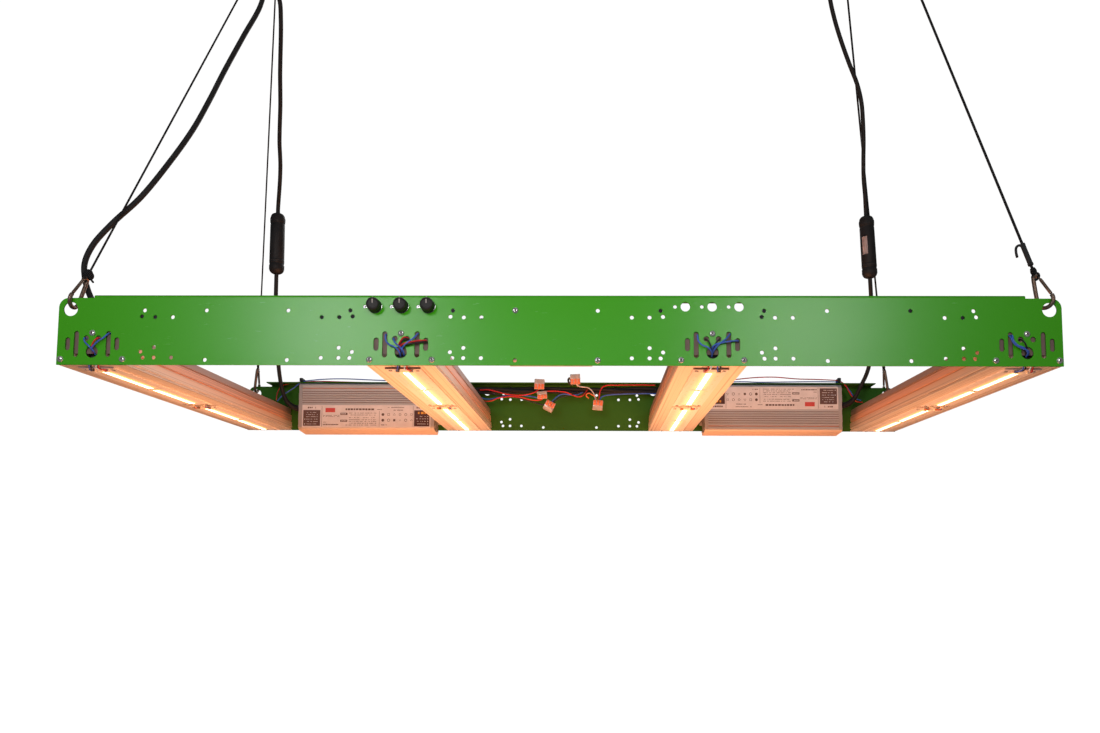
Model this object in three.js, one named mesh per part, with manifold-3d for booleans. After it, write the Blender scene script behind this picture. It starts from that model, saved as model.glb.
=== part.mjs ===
// A hanging LED grow light: four finned light bars between two folded rails, with drivers,
// dimmers, leads and the ropes that it hangs on. Millimetres, +Z up.
// The origin is the seat of the higher hanging ring, above the middle of the light.
import * as THREE from 'three';
import { mergeVertices } from 'three/addons/utils/BufferGeometryUtils.js';
import Module from 'manifold-3d';

const wasm = await Module();
wasm.setup();

// Driving dimensions
const gap = 0.3; // clearance between touching pieces
const seatHeight = 1087.5; // from the underside of the rails to the seat of the higher ring
const depth = 600; // over the two rails' faces
const rail = {
  halfLength: 613.3, height: 87.5, sheet: 2, flangeDepth: 30, flangeHalf: 570,
  earTop: 83.6, earCorner: 12, hangX: 598.7, hangZ: 69.6, hangR: 8.8,
};
const bar = { pitch: 380, halfWidth: 41.5, count: 4 };
const board = { width: 44, length: 278, thick: 1.6, middleGap: 16, ledWidth: 11, ledProud: 1.1 };
const driver = { x: 376, length: 240, cap: 6, back: 297.7, face: 253.9, top: 84.9, bottom: -8.7 };
const dimmer = { x: -190, pitch: 32.7, z: 73, knobR: 8.65, knobFront: 315, nutR: 8.8 };
const hook = { wire: 2.5, drop: 2.4, length: 44, bow: 9.5, neck: 3.4, gateR: 1.9 };
const ring = { wire: 2.5, radius: 17.5, left: [-475.7, 785], right: [425.9, 1055.4] };
const lead = { radius: 3.75, turns: 4, coilRadius: 38 };
const ropeRadius = { left: 1.3, right: 1.7 };
const inline = { radius: 13.4, length: 114 };

const barXs = [...Array(bar.count).keys()].map((i) => (i - (bar.count - 1) / 2) * bar.pitch);
const plateInside = depth / 2 - rail.sheet;

// Materials
const finish = (color, metalness, roughness) =>
  new THREE.MeshStandardMaterial({ color, metalness, roughness });
const greenPaint = finish(0x4c9a3f, 0.1, 0.5);
const aluminium = finish(0xb7a9a2, 0.9, 0.42);
const boardWhite = finish(0xf4efe6, 0, 0.5);
const driverGrey = finish(0xa79f9d, 0.6, 0.45);
const blackPlastic = finish(0x17171a, 0, 0.55);
const clearPlastic = finish(0xcfd3d4, 0, 0.25);
const steel = finish(0x8f867c, 1, 0.35);
const ropeBlack = finish(0x1b1a1c, 0, 0.85);
const leadBlack = finish(0x121214, 0, 0.6);

// Solids that are joined or cut
const solid = (geometry) => {
  geometry.deleteAttribute('normal');
  geometry.deleteAttribute('uv');
  const merged = mergeVertices(geometry, 1e-4);
  return new wasm.Manifold(new wasm.Mesh({
    numProp: 3,
    vertProperties: new Float32Array(merged.attributes.position.array),
    triVerts: new Uint32Array(merged.index.array),
  }));
};
const geometryOf = (manifold) => {
  const mesh = manifold.getMesh();
  const geometry = new THREE.BufferGeometry();
  geometry.setAttribute('position', new THREE.BufferAttribute(mesh.vertProperties, 3));
  geometry.setIndex(new THREE.BufferAttribute(mesh.triVerts, 1));
  geometry.computeVertexNormals();
  return geometry;
};
const boxAt = (low, high) => {
  const size = low.map((value, i) => high[i] - value);
  const box = new THREE.BoxGeometry(...size);
  return box.translate(...low.map((value, i) => value + size[i] / 2));
};

const light = new THREE.Group();
light.position.z = -seatHeight;
const group = new THREE.Group();
group.name = 'led_grow_light';
group.add(light);
const add = (name, geometry, material) => {
  const mesh = new THREE.Mesh(geometry, material);
  mesh.name = name;
  light.add(mesh);
  return mesh;
};

// Outlines
const circle = (x, y, radius, sides) => {
  const path = new THREE.Path();
  for (let i = 0; i < sides; i++) {
    const angle = (2 * Math.PI * (i + 0.5)) / sides;
    const point = [x + radius * Math.cos(angle), y + radius * Math.sin(angle)];
    if (i === 0) path.moveTo(...point);
    else path.lineTo(...point);
  }
  path.closePath();
  return path;
};
const slot = (x, low, high, width) => {
  const r = width / 2;
  const path = new THREE.Path();
  const steps = 3;
  for (let i = 0; i <= steps; i++) {
    const a = (Math.PI * i) / steps;
    const point = [x + r * Math.cos(a), high - r + r * Math.sin(a)];
    if (i === 0) path.moveTo(...point);
    else path.lineTo(...point);
  }
  for (let i = 0; i <= steps; i++) {
    const a = Math.PI * (1 + i / steps);
    path.lineTo(x + r * Math.cos(a), low + r + r * Math.sin(a));
  }
  path.closePath();
  return path;
};
const outline = (points) => new THREE.Shape(points.map((p) => new THREE.Vector2(...p)));
const extrude = (shape, length, curveSegments = 4) =>
  new THREE.ExtrudeGeometry(shape, { depth: length, bevelEnabled: false, curveSegments });

// Rails: both are the same folded part; the rear one is turned round
const railPlate = () => {
  const { halfLength: end, earTop, earCorner: c, flangeHalf: f, height } = rail;
  const shape = new THREE.Shape();
  shape.moveTo(-end, 0);
  shape.lineTo(end, 0);
  shape.lineTo(end, earTop - c);
  shape.absarc(end - c, earTop - c, c, 0, Math.PI / 2, false);
  shape.lineTo(f, earTop);
  shape.lineTo(f, height);
  shape.lineTo(-f, height);
  shape.lineTo(-f, earTop);
  shape.lineTo(-end + c, earTop);
  shape.absarc(-end + c, earTop - c, c, Math.PI / 2, Math.PI, false);
  for (const side of [-1, 1]) {
    shape.holes.push(circle(side * rail.hangX, rail.hangZ, rail.hangR, 16));
    for (const step of [-1, 0, 1]) {
      const x = side * 190 + step * dimmer.pitch;
      shape.holes.push(circle(x, dimmer.z, 5.8, 12));
    }
  }
  for (const x of barXs) {
    shape.holes.push(circle(x, 16.3, 7.5, 12));
    for (const side of [-1, 1]) {
      shape.holes.push(circle(x + side * 7.5, 33, 3.4, 6));
      shape.holes.push(slot(x + side * 19.8, 9.8, 42, 6));
      shape.holes.push(slot(x + side * 30.4, 18, 34, 6));
    }
  }
  return extrude(shape, rail.sheet).rotateX(Math.PI / 2).translate(0, -plateInside, 0);
};
const flange = boxAt(
  [-rail.flangeHalf, -depth / 2 + rail.sheet / 2, rail.height - rail.sheet],
  [rail.flangeHalf, -depth / 2 + rail.flangeDepth, rail.height],
);
const railGeometry = geometryOf(solid(railPlate()).add(solid(flange)));
add('front_rail', railGeometry, greenPaint);
add('back_rail', railGeometry, greenPaint).rotation.z = Math.PI;

// Heat sinks: one extruded section with side bands, fins and a tunnel for the wires
const sinkSection = () => {
  const half = [
    [41.5, 0], [41.5, 2], [39.9, 2.8], [39.9, 3.8], [41.3, 4.6], [40.9, 15.4], [38.9, 16.2],
    [38.9, 17.8], [40.4, 18.6], [39.9, 28.4], [37.9, 29.2], [37.9, 30.8], [39.3, 31.6],
    [38.6, 40.9], [36.6, 40.9], [35.9, 12.5], [33.4, 10.5], [33.4, 5], [27.3, 5], [26.2, 38],
    [24.4, 38], [23.6, 5], [16.8, 5], [15.4, 29], [4.4, 31], [4.4, 44],
  ];
  const shape = outline([...half, ...half.map(([x, z]) => [-x, z]).reverse()]);
  const tunnel = [[11.5, 7], [9.5, 5], [-9.5, 5], [-11.5, 7], [-11.5, 25], [-9.5, 27], [9.5, 27], [11.5, 25]];
  shape.holes.push(new THREE.Path(tunnel.map((p) => new THREE.Vector2(...p))));
  return shape;
};
const sinkLength = 2 * (plateInside - gap);
const sinkGeometry = extrude(sinkSection(), sinkLength)
  .rotateX(Math.PI / 2)
  .translate(0, sinkLength / 2, 0);

// LED boards: a thin plate with its row of chips as one raised strip
const boardGeometry = () => {
  const { width, length, thick, ledWidth, ledProud } = board;
  const plate = boxAt([-width / 2, 0, -gap - thick], [width / 2, length, -gap]);
  const low = -gap - thick - ledProud;
  const row = boxAt([-ledWidth / 2, 12, low], [ledWidth / 2, length - 12, -gap - thick / 2]);
  return geometryOf(solid(plate).add(solid(row)));
};
barXs.forEach((x, i) => {
  add(`heat_sink_${i + 1}`, sinkGeometry, aluminium).position.x = x;
  const geometry = boardGeometry();
  const front = add(`led_board_${i + 1}_front`, geometry, boardWhite);
  front.position.set(x, -board.middleGap / 2 - board.length, 0);
  const back = add(`led_board_${i + 1}_back`, geometry, boardWhite);
  back.position.set(x, board.middleGap / 2, 0);
});

// Large drivers: a slanted housing with ribs on half of its face, and an end cap at each end
// Section points are (y, z); the ribbed half is the upper one on the left driver.
const { back: dBack, face: dFace, top: dTop, bottom: dBottom } = driver;
const faceTop = dTop - 3.6;
const faceBottom = dBottom + 4.1;
const driverSection = (ribbed) => {
  const points = [[dBack, dBottom], [dBack, dTop], [dFace + 3, faceTop + 0.3], [dFace, faceTop - 3]];
  if (ribbed) {
    const ribs = 6;
    const pitch = 6.6;
    for (let i = 0; i < ribs; i++) {
      const z = faceTop - 6 - i * pitch;
      points.push([dFace, z], [dFace + 2, z - 0.8], [dFace + 2, z - 2.8], [dFace, z - 3.6]);
    }
  }
  points.push([dFace, faceBottom + 3], [dFace + 3, faceBottom - 0.3]);
  return points;
};
// Extrudes a (y, z) section along +X from x = 0
const alongX = (points, length) =>
  extrude(outline(points), length).applyMatrix4(new THREE.Matrix4().makeBasis(
    new THREE.Vector3(0, 1, 0), new THREE.Vector3(0, 0, 1), new THREE.Vector3(1, 0, 0)));
const rod = (from, to, radius, sides) => {
  const a = new THREE.Vector3(...from);
  const b = new THREE.Vector3(...to);
  const axis = b.clone().sub(a);
  const rodGeometry = new THREE.CylinderGeometry(radius, radius, axis.length(), sides);
  const turn = new THREE.Quaternion().setFromUnitVectors(new THREE.Vector3(0, 1, 0), axis.normalize());
  return rodGeometry.applyQuaternion(turn).translate(...a.add(b).multiplyScalar(0.5).toArray());
};
const housingGeometry = alongX(driverSection(true), driver.length - 2 * gap)
  .translate(-driver.length / 2 + gap, 0, 0);
// An end cap on the +X end, with a foot on the rail and a gland for its cable
const capGeometry = (glandZ, glandR) => {
  const start = driver.length / 2;
  const cap = alongX(driverSection(false), driver.cap).translate(start, 0, 0);
  const middle = (dTop + dBottom) / 2;
  const foot = boxAt([start + 1, dBack - 3, middle - 28], [start + driver.cap + 5, dBack, middle + 28]);
  const gland = rod([start + 2, 275, glandZ], [start + driver.cap + 5, 275, glandZ], glandR, 12);
  return geometryOf(solid(cap).add(solid(foot)).add(solid(gland)));
};
const flip = new THREE.Matrix4().makeTranslation(0, 0, (dTop + dBottom) / 2)
  .multiply(new THREE.Matrix4().makeRotationY(Math.PI))
  .multiply(new THREE.Matrix4().makeTranslation(0, 0, -(dTop + dBottom) / 2));
const inputGlandZ = { left: 38, right: 46 };
const outputGlandZ = 58;
const mirroredCap = (glandZ, glandR) =>
  capGeometry(dTop + dBottom - glandZ, glandR).applyMatrix4(flip);
const placeDriver = (side, turned) => {
  const x = side === 'left' ? -driver.x : driver.x;
  const housing = turned ? housingGeometry.clone().applyMatrix4(flip) : housingGeometry;
  add(`driver_${side}_housing`, housing, driverGrey).position.x = x;
  const inputZ = inputGlandZ[side];
  const input = turned ? capGeometry(inputZ, 6.5) : mirroredCap(inputZ, 6.5);
  const output = turned ? mirroredCap(outputGlandZ, 7.5) : capGeometry(outputGlandZ, 7.5);
  add(`driver_${side}_input_cap`, input, driverGrey).position.x = x;
  add(`driver_${side}_output_cap`, output, driverGrey).position.x = x;
};
placeDriver('left', false);
placeDriver('right', true);

// The small driver behind the middle of the front rail
const auxOutline = [[-297, 7], [-260, 7], [-257.5, 10], [-257.5, 67], [-260, 70], [-297, 70]];
const auxGeometry = geometryOf(
  solid(alongX(auxOutline, 104).translate(-60, 0, 0))
    .add(solid(rod([-66, -280, 60], [-59, -280, 60], 6.5, 12)))
    .add(solid(boxAt([-66, plateInside * -1 + gap, 22], [50, -296.2, 54]))),
);
add('aux_driver_housing', auxGeometry, driverGrey);

// Dimmers: the pot and its nut grip the sheet, and the knob turns on the shaft
const lathe = (points, segments) =>
  new THREE.LatheGeometry(points.map((p) => new THREE.Vector2(...p)), segments);
const face = depth / 2;
const potProfile = [
  [0, 285], [8.2, 285], [8.2, plateInside - gap], [5.4, plateInside - gap], [5.4, face + gap],
  [dimmer.nutR, face + gap], [dimmer.nutR, face + 1.6], [5, face + 2.2], [3, face + 2.4],
  [3, face + 11], [0, face + 11],
];
const knobProfile = [
  [0, dimmer.knobFront], [6.9, dimmer.knobFront], [7.9, dimmer.knobFront - 1],
  [dimmer.knobR, face + 3], [dimmer.knobR, face + 2.6], [3.3, face + 2.6], [3.3, face + 11.5],
  [0, face + 11.5],
];
for (let i = 0; i < 3; i++) {
  const x = dimmer.x + (i - 1) * dimmer.pitch;
  // A turned profile stands along +Y; half a turn about Z points it out of the front
  const pot = add(`dimmer_pot_${i + 1}`, lathe(potProfile, 12), steel);
  pot.rotation.z = Math.PI;
  pot.position.set(x, 0, dimmer.z);
  const knob = add(`dimmer_knob_${i + 1}`, lathe([...knobProfile].reverse(), 20), blackPlastic);
  knob.rotation.z = Math.PI;
  knob.position.set(x, 0, dimmer.z);
}

// Ropes: from each corner hook up to the ring of its side
const cornerNames = { '-1,-1': 'front_left', '1,-1': 'front_right', '-1,1': 'back_left', '1,1': 'back_right' };
const ringFoot = 4.5; // each rope's distance from the ring's lowest point
const corners = Object.entries(cornerNames).map(([key, name]) => {
  const [sx, sy] = key.split(',').map(Number);
  const [ringX, ringZ] = sx < 0 ? ring.left : ring.right;
  const radius = sx < 0 ? ropeRadius.left : ropeRadius.right;
  const baseZ = rail.hangZ + rail.hangR - hook.wire - hook.drop;
  const turned = sx > 0 && sy < 0; // this hook is turned half across its hole, to one side of it
  const baseX = sx * rail.hangX - (turned ? 1.2 : 0);
  const base = new THREE.Vector3(baseX, sy * (face - rail.sheet / 2), baseZ);
  const rise = ring.radius - Math.sqrt(ring.radius ** 2 - ringFoot ** 2);
  const top = new THREE.Vector3(ringX, sy * ringFoot, ringZ + rise);
  const up = top.clone().sub(base).normalize();
  return { name, sy, turned, base, top, up, radius };
});
const tube = (points, radius, sides, steps) => {
  const curve = new THREE.CatmullRomCurve3(points.map((p) => (p.isVector3 ? p : new THREE.Vector3(...p))));
  const shape = new THREE.Shape();
  for (let i = 0; i < sides; i++) {
    const a = (2 * Math.PI * i) / sides;
    if (i === 0) shape.moveTo(radius * Math.cos(a), radius * Math.sin(a));
    else shape.lineTo(radius * Math.cos(a), radius * Math.sin(a));
  }
  return new THREE.ExtrudeGeometry(shape, { steps, extrudePath: curve, bevelEnabled: false });
};
for (const corner of corners) {
  const start = corner.base.clone().addScaledVector(corner.up, hook.length + hook.wire + gap);
  const end = corner.top.clone().addScaledVector(corner.up, -(ring.wire + gap + 0.4));
  const points = [0, 0.33, 0.67, 1].map((t) => start.clone().lerp(end, t));
  add(`rope_${corner.name}`, tube(points, corner.radius, 8, 8), ropeBlack);
}

// Hooks: a pear-shaped wire, wide end down through the rail, with a sprung gate on one leg
// In the hook's own plane u is across, with the gate on the +u side, and v is along the rope.
const hookPath = () => {
  const { bow, neck, length } = hook;
  const points = [];
  const bowCentre = bow;
  const neckCentre = length - neck;
  for (let a = 15; a >= -180; a -= 19.5) {
    const t = THREE.MathUtils.degToRad(a);
    points.push([bow * Math.cos(t), bowCentre + bow * Math.sin(t)]);
  }
  for (let a = 180; a >= 30; a -= 30) {
    const t = THREE.MathUtils.degToRad(a);
    points.push([neck * Math.cos(t) - 0.6, neckCentre + neck * Math.sin(t)]);
  }
  return points;
};
const gateFoot = [hook.bow * Math.cos(0.26), hook.bow * (1 + Math.sin(0.26)) + hook.wire * 0.3];
const gatePivot = [hook.neck * 0.866 - 0.6 + 0.9, hook.length - hook.neck * 0.5 - 2.6];
const hookFrame = ({ sy, turned, up, base }) => {
  // The gate side faces out of the light
  const turn = turned ? Math.PI / 5 : 0;
  const out = new THREE.Vector3(Math.sin(turn), sy * Math.cos(turn), 0);
  const u = out.clone().addScaledVector(up, -out.dot(up)).normalize();
  const w = new THREE.Vector3().crossVectors(u, up);
  return { at: (p) => base.clone().addScaledVector(u, p[0]).addScaledVector(up, p[1]), u, w };
};
for (const corner of corners) {
  const { at } = hookFrame(corner);
  const wire = tube(hookPath().map(at), hook.wire, 8, 30);
  add(`carabiner_${corner.name}`, wire, steel);
  const axis = [gateFoot[0] - gatePivot[0], gateFoot[1] - gatePivot[1]];
  const length = Math.hypot(...axis);
  const along = (d) => [gatePivot[0] + (axis[0] * d) / length, gatePivot[1] + (axis[1] * d) / length];
  const gate = rod(at(along(2)).toArray(), at(along(length - 1.2)).toArray(), hook.gateR, 8);
  add(`carabiner_gate_${corner.name}`, gate, steel);
}

// Hanging rings: each lies in the plane of its two ropes, whose ends meet at its lowest point
const torus = new THREE.TorusGeometry(ring.radius, ring.wire, 8, 20).rotateY(Math.PI / 2);
const ringFrame = (side) => {
  const [x, z] = ring[side];
  const foot = new THREE.Vector3(x, 0, z);
  const { base } = corners.find((c) => c.name === `back_${side}`);
  const up = new THREE.Vector3(x - base.x, 0, z - base.z).normalize();
  return { foot, up, tilt: Math.atan2(up.x, up.z) };
};
for (const side of ['left', 'right']) {
  const { foot, up, tilt } = ringFrame(side);
  const mesh = add(`hanger_ring_${side}`, torus, steel);
  mesh.rotation.y = tilt;
  mesh.position.copy(foot).addScaledVector(up, ring.radius);
}

// In-line connectors on the two power leads, and the leads below and above them
const inlineProfile = [
  [0, 0], [7.5, 0], [11.5, 3], [inline.radius, 9], [inline.radius, 16], [12.6, 17.5], [12.6, 19.5],
  [inline.radius, 21], [inline.radius, 105], [11.5, 111], [7.5, inline.length], [0, inline.length],
];
const connectors = {
  left: { foot: [-539.5, 220, 279], head: [-540.5, 220, 393] },
  right: { foot: [541.2, 198.6, 264.8], head: [536.2, 197, 378.4] },
};
const upright = new THREE.Vector3(0, 1, 0);
for (const [side, { foot, head }] of Object.entries(connectors)) {
  const axis = new THREE.Vector3(...head).sub(new THREE.Vector3(...foot)).normalize();
  const turn = new THREE.Quaternion().setFromUnitVectors(upright, axis);
  const geometry = lathe(inlineProfile, 16).applyQuaternion(turn).translate(...foot);
  add(`inline_connector_${side}`, geometry, blackPlastic);
}

// Coils of the leads' spare length, hung side by side from the rings, with each plug on its coil
// entry is the side, along Y, on which the lead runs up into the first turn.
const coils = {
  left: { ring: 'left', face: -1, entry: 1 },
  right: { ring: 'right', face: 1, entry: 1 },
  aux: { ring: 'left', face: 1, entry: -1 },
};
const coilHalf = 2 * lead.radius + 0.15;
const coilDrop = 30; // from the ring's lowest point down to the coil's middle
for (const coil of Object.values(coils)) {
  const { foot, up } = ringFrame(coil.ring);
  coil.up = up;
  coil.side = new THREE.Vector3(0, coil.entry, 0);
  coil.out = new THREE.Vector3(up.z * coil.face, 0, -up.x * coil.face);
  coil.centre = foot.clone().addScaledVector(up, -coilDrop)
    .addScaledVector(coil.out, ring.wire + coilHalf + 0.5);
}
// Where a lead runs into its coil: the start of the outer turn next to the ropes
const coilEntry = ({ centre, up, side, out }, below) => centre.clone()
  .addScaledVector(side, lead.coilRadius + lead.radius)
  .addScaledVector(out, -lead.radius)
  .addScaledVector(up, -below);

// Each lead's route, set by hand, on to its coil
const glandEnd = driver.x + driver.length / 2 + driver.cap + 5 + 2 * gap;
const intoCoil = (coil) => [coilEntry(coil, 39), coilEntry(coil, 27)].map((p) => p.toArray());
const routes = {
  lead_left_lower: [
    [-glandEnd, 275, 38], [-511, 275, 38.2], [-519.5, 274.2, 41], [-527.5, 272, 46.8],
    [-533, 269, 55.5], [-536.5, 265.5, 66.5], [-539, 261, 81], [-540.8, 257, 97],
    [-542, 252.5, 116], [-542.7, 247, 143], [-542.8, 240, 172], [-542.3, 232, 206],
    [-541, 225, 240], [-539.9, 221.3, 262], [-539.6, 220.2, 272], [-539.5, 220, 278.4],
  ],
  lead_left_upper: [
    [-540.5, 220, 393.6], [-540.6, 219.7, 399], [-538.5, 215, 413], [-534.3, 206, 432],
    [-529.8, 195.5, 452], [-526.2, 185, 471.3], [-524, 175.5, 487], [-522, 166, 502],
    [-518.8, 156, 519], [-515, 145.5, 536], [-510.5, 133, 555], [-506.5, 119.5, 577],
    [-503, 107, 597.5], [-498.5, 93.5, 621], [-493.6, 79.5, 646], [-489, 64.5, 671],
    [-487.3, 51.5, 697.5], ...intoCoil(coils.left),
  ],
  lead_right_lower: [
    [glandEnd, 275, 46], [511, 275, 46.2], [519, 274.3, 49], [527, 272, 55.5],
    [533.5, 268.7, 65], [538.5, 264.8, 76.5], [544, 260.5, 89], [549.3, 256.8, 102],
    [553.5, 252.5, 119], [555.5, 246, 147], [554, 234, 180], [549.5, 220, 210],
    [545.2, 208, 236], [542.4, 200.8, 251], [541.5, 198.9, 258.5], [541.2, 198.6, 264.2],
  ],
  lead_right_upper: [
    [536.2, 197, 379], [536, 196.8, 384], [534.8, 194, 396], [532.2, 187.5, 414],
    [527.8, 179, 441], [525.1, 169.5, 471.5], [523.1, 159.5, 502], [519.8, 150, 533],
    [515, 141, 564], [505.7, 132.5, 592], [489.8, 123, 624.5], [473.6, 113.5, 661],
    [460.5, 105, 695.5], [451, 98, 732], [446, 90, 780], [443.5, 81, 830],
    [442, 71.5, 880], [441.3, 61, 925], [439.8, 49.5, 962], ...intoCoil(coils.right),
  ],
  lead_aux: [
    [-66.6, -280, 60], [-71, -280, 60], [-88, -280, 59.6], [-120, -280.5, 58], [-160, -281, 56],
    [-200, -281, 55.5], [-240, -281, 55], [-290, -280.5, 54.5], [-340, -280, 54], [-390, -280, 54],
    [-440, -280, 54.5], [-490, -279.5, 55], [-530, -278.5, 57], [-556, -276.5, 62],
    [-574, -273, 71], [-588, -267, 84], [-600, -260.5, 100], [-609, -256, 120],
    [-612, -254, 142], [-606, -248.5, 168], [-588, -237, 202], [-561, -222.5, 242],
    [-536, -203.5, 296], [-515, -180.5, 356], [-503.5, -158, 411], [-494.5, -132.5, 470],
    [-480, -105, 540], [-467, -78, 606], [-467, -64, 650], [-473.5, -50, 686],
    ...intoCoil(coils.aux),
  ],
};
// One step of tube for each two and a half diameters of its length
const stepsFor = (points) => {
  const curve = new THREE.CatmullRomCurve3(points.map((p) => new THREE.Vector3(...p)));
  return Math.min(70, Math.round(curve.getLength() / (5 * lead.radius)));
};
for (const [name, points] of Object.entries(routes)) {
  add(name, tube(points, lead.radius, 8, stepsFor(points)), leadBlack);
}

const coilSection = () => {
  const c = 3;
  const inner = lead.coilRadius - coilHalf;
  const outer = lead.coilRadius + coilHalf;
  return [
    [inner, -coilHalf + c], [inner + c, -coilHalf], [outer - c, -coilHalf], [outer, -coilHalf + c],
    [outer, coilHalf - c], [outer - c, coilHalf], [inner + c, coilHalf], [inner, coilHalf - c],
    [inner, -coilHalf + c],
  ];
};
const plugTilt = THREE.MathUtils.degToRad(13);
const plugGeometry = () => {
  // Its cable end is at the origin and its pins point along +Y
  const relief = new THREE.CylinderGeometry(7, 4.6, 22, 10).translate(0, 11, 0);
  const body = new THREE.Shape();
  [[-9, 20], [9, 20], [12.5, 26], [13.5, 52], [12.5, 56], [-12.5, 56], [-13.5, 52], [-12.5, 26]]
    .forEach(([x, y], i) => (i === 0 ? body.moveTo(x, y) : body.lineTo(x, y)));
  const block = extrude(body, 20).translate(0, 0, -10);
  let plug = solid(relief).add(solid(block));
  for (const side of [-1, 1]) {
    plug = plug.add(solid(boxAt([side * 6.35 - 0.8, 55, -1.4], [side * 6.35 + 0.8, 72, 5])));
  }
  plug = plug.add(solid(rod([0, 55, -5.2], [0, 75, -5.2], 2.4, 8)));
  return geometryOf(plug);
};
for (const [name, { centre, up, side, out }] of Object.entries(coils)) {
  const toCoil = new THREE.Quaternion().setFromUnitVectors(upright, out);
  const coil = lathe(coilSection(), 24).applyQuaternion(toCoil).translate(...centre.toArray());
  add(`lead_coil_${name}`, coil, leadBlack);
  // The plug lies on the coil's outer face, leaning off the turn that runs into it
  const across = new THREE.Vector3().crossVectors(up, out);
  const basis = new THREE.Matrix4().makeBasis(across, up, out);
  const placed = plugGeometry().applyMatrix4(new THREE.Matrix4().makeRotationX(plugTilt));
  const foot = centre.clone().addScaledVector(side, lead.coilRadius)
    .addScaledVector(out, coilHalf + gap + 5.2).addScaledVector(up, 2);
  add(`plug_${name}`, placed.applyMatrix4(basis).translate(...foot.toArray()), blackPlastic);
}

// Lever splice connectors in front of the rear rail, and the band of cables under its flange
const spliceShape = (width, height) => outline([
  [-width / 2, -height / 2], [width / 2, -height / 2], [width / 2, height / 2 - 3],
  [width / 2 - 3, height / 2], [-width / 2 + 3, height / 2], [-width / 2, height / 2 - 3],
]);
const splices = [
  { at: [-56, 262, 82], height: 19, turn: 0.05 },
  { at: [-50.7, 262, 61.8], height: 14, turn: -0.06 },
  { at: [-37.4, 262, 41], height: 19, turn: 0.5 },
  { at: [10.7, 262, 91.5], height: 19, turn: -0.04 },
  { at: [52.8, 262, 43.1], height: 19, turn: 0.1 },
];
splices.forEach(({ at, height, turn }, i) => {
  const thick = 8.5;
  const geometry = extrude(spliceShape(19, height), thick).translate(0, 0, -thick / 2);
  const mesh = add(`lever_connector_${i + 1}`, geometry.rotateX(Math.PI / 2), clearPlastic);
  mesh.rotation.y = turn;
  mesh.position.set(...at);
});
const loomEnd = driver.x - driver.length / 2 - driver.cap - 5 - 2 * gap;
const loomHalf = [[238, 275.3, 58.4], [222, 277, 62.5], [200, 279.5, 69], [170, 280, 73.5], [135, 280, 74.5],
  [100, 280, 73.5], [60, 280, 74.5]];
const loomPoints = [
  [-loomEnd, 275, outputGlandZ], ...loomHalf.map(([x, y, z]) => [-x, y, z]), [0, 280, 73.5],
  ...[...loomHalf].reverse(), [loomEnd, 275, outputGlandZ],
];
add('output_cable_loom', tube(loomPoints, 6.8, 10, 26), leadBlack);

export default group;
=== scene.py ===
import math
import random

import bmesh
import bpy
from mathutils import Matrix, Vector


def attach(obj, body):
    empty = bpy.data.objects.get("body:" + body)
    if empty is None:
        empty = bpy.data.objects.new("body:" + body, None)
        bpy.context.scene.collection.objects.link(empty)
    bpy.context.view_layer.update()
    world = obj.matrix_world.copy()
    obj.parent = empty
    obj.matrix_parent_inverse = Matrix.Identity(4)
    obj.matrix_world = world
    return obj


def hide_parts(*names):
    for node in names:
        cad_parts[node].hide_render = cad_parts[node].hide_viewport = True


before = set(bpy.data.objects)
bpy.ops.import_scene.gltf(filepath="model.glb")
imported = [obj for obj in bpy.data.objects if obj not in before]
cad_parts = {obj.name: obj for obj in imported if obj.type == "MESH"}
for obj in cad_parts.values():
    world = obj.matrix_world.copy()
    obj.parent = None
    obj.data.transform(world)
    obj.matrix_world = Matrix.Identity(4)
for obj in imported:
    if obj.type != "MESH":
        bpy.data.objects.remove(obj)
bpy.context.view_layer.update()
seatHeight = 1087.5  # from the underside of the rails up to the origin, in mm
lightBody = "light"
barPlaces = (-570, -190, 190, 570)


def at(x, y, z):
    # a point of the light, in mm above the rails' underside, as metres in the frame
    return Vector((x, y, z - seatHeight)) / 1000


# shader maths
class Wire:
    def __init__(self, tree, socket):
        self.tree, self.socket = tree, socket

    def node(self, kind, settings=None, inputs=None, out=0):
        made = self.tree.nodes.new(kind)
        for key, value in (settings or {}).items():
            if key == "stops":
                ramp = made.color_ramp.elements
                while len(ramp) < len(value):
                    ramp.new(0.5)
                for element, (place, colour) in zip(ramp, value):
                    element.position, element.color = place, (*colour, 1)
            else:
                setattr(made, key, value)
        for key, value in (inputs or {}).items():
            if isinstance(value, Wire):
                self.tree.links.new(value.socket, made.inputs[key])
            else:
                made.inputs[key].default_value = value
        return Wire(self.tree, made.outputs[out])

    def maths(self, operation, a, b=0.0):
        return self.node("ShaderNodeMath", {"operation": operation}, {0: a, 1: b})

    def __add__(self, other):
        return self.maths("ADD", self, other)

    def __radd__(self, other):
        return self.maths("ADD", other, self)

    def __sub__(self, other):
        return self.maths("SUBTRACT", self, other)

    def __rsub__(self, other):
        return self.maths("SUBTRACT", other, self)

    def __mul__(self, other):
        return self.maths("MULTIPLY", self, other)

    def __rmul__(self, other):
        return self.maths("MULTIPLY", other, self)

    def __abs__(self):
        return self.maths("ABSOLUTE", self)

    def above(self, edge, soft=0.001):
        # 0 below the edge and 1 above it, with a soft step
        return self.node("ShaderNodeMapRange", {"interpolation_type": "SMOOTHSTEP"},
                         {"Value": self, "From Min": edge - soft, "From Max": edge + soft})

    def mix(self, a, b):
        # colours a and b, mixed by this value
        return self.node("ShaderNodeMix", {"data_type": "RGBA"},
                         {0: self, 6: colour4(a), 7: colour4(b)}, out=2)


def colour4(value):
    return value if isinstance(value, Wire) else (*value, 1)


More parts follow.
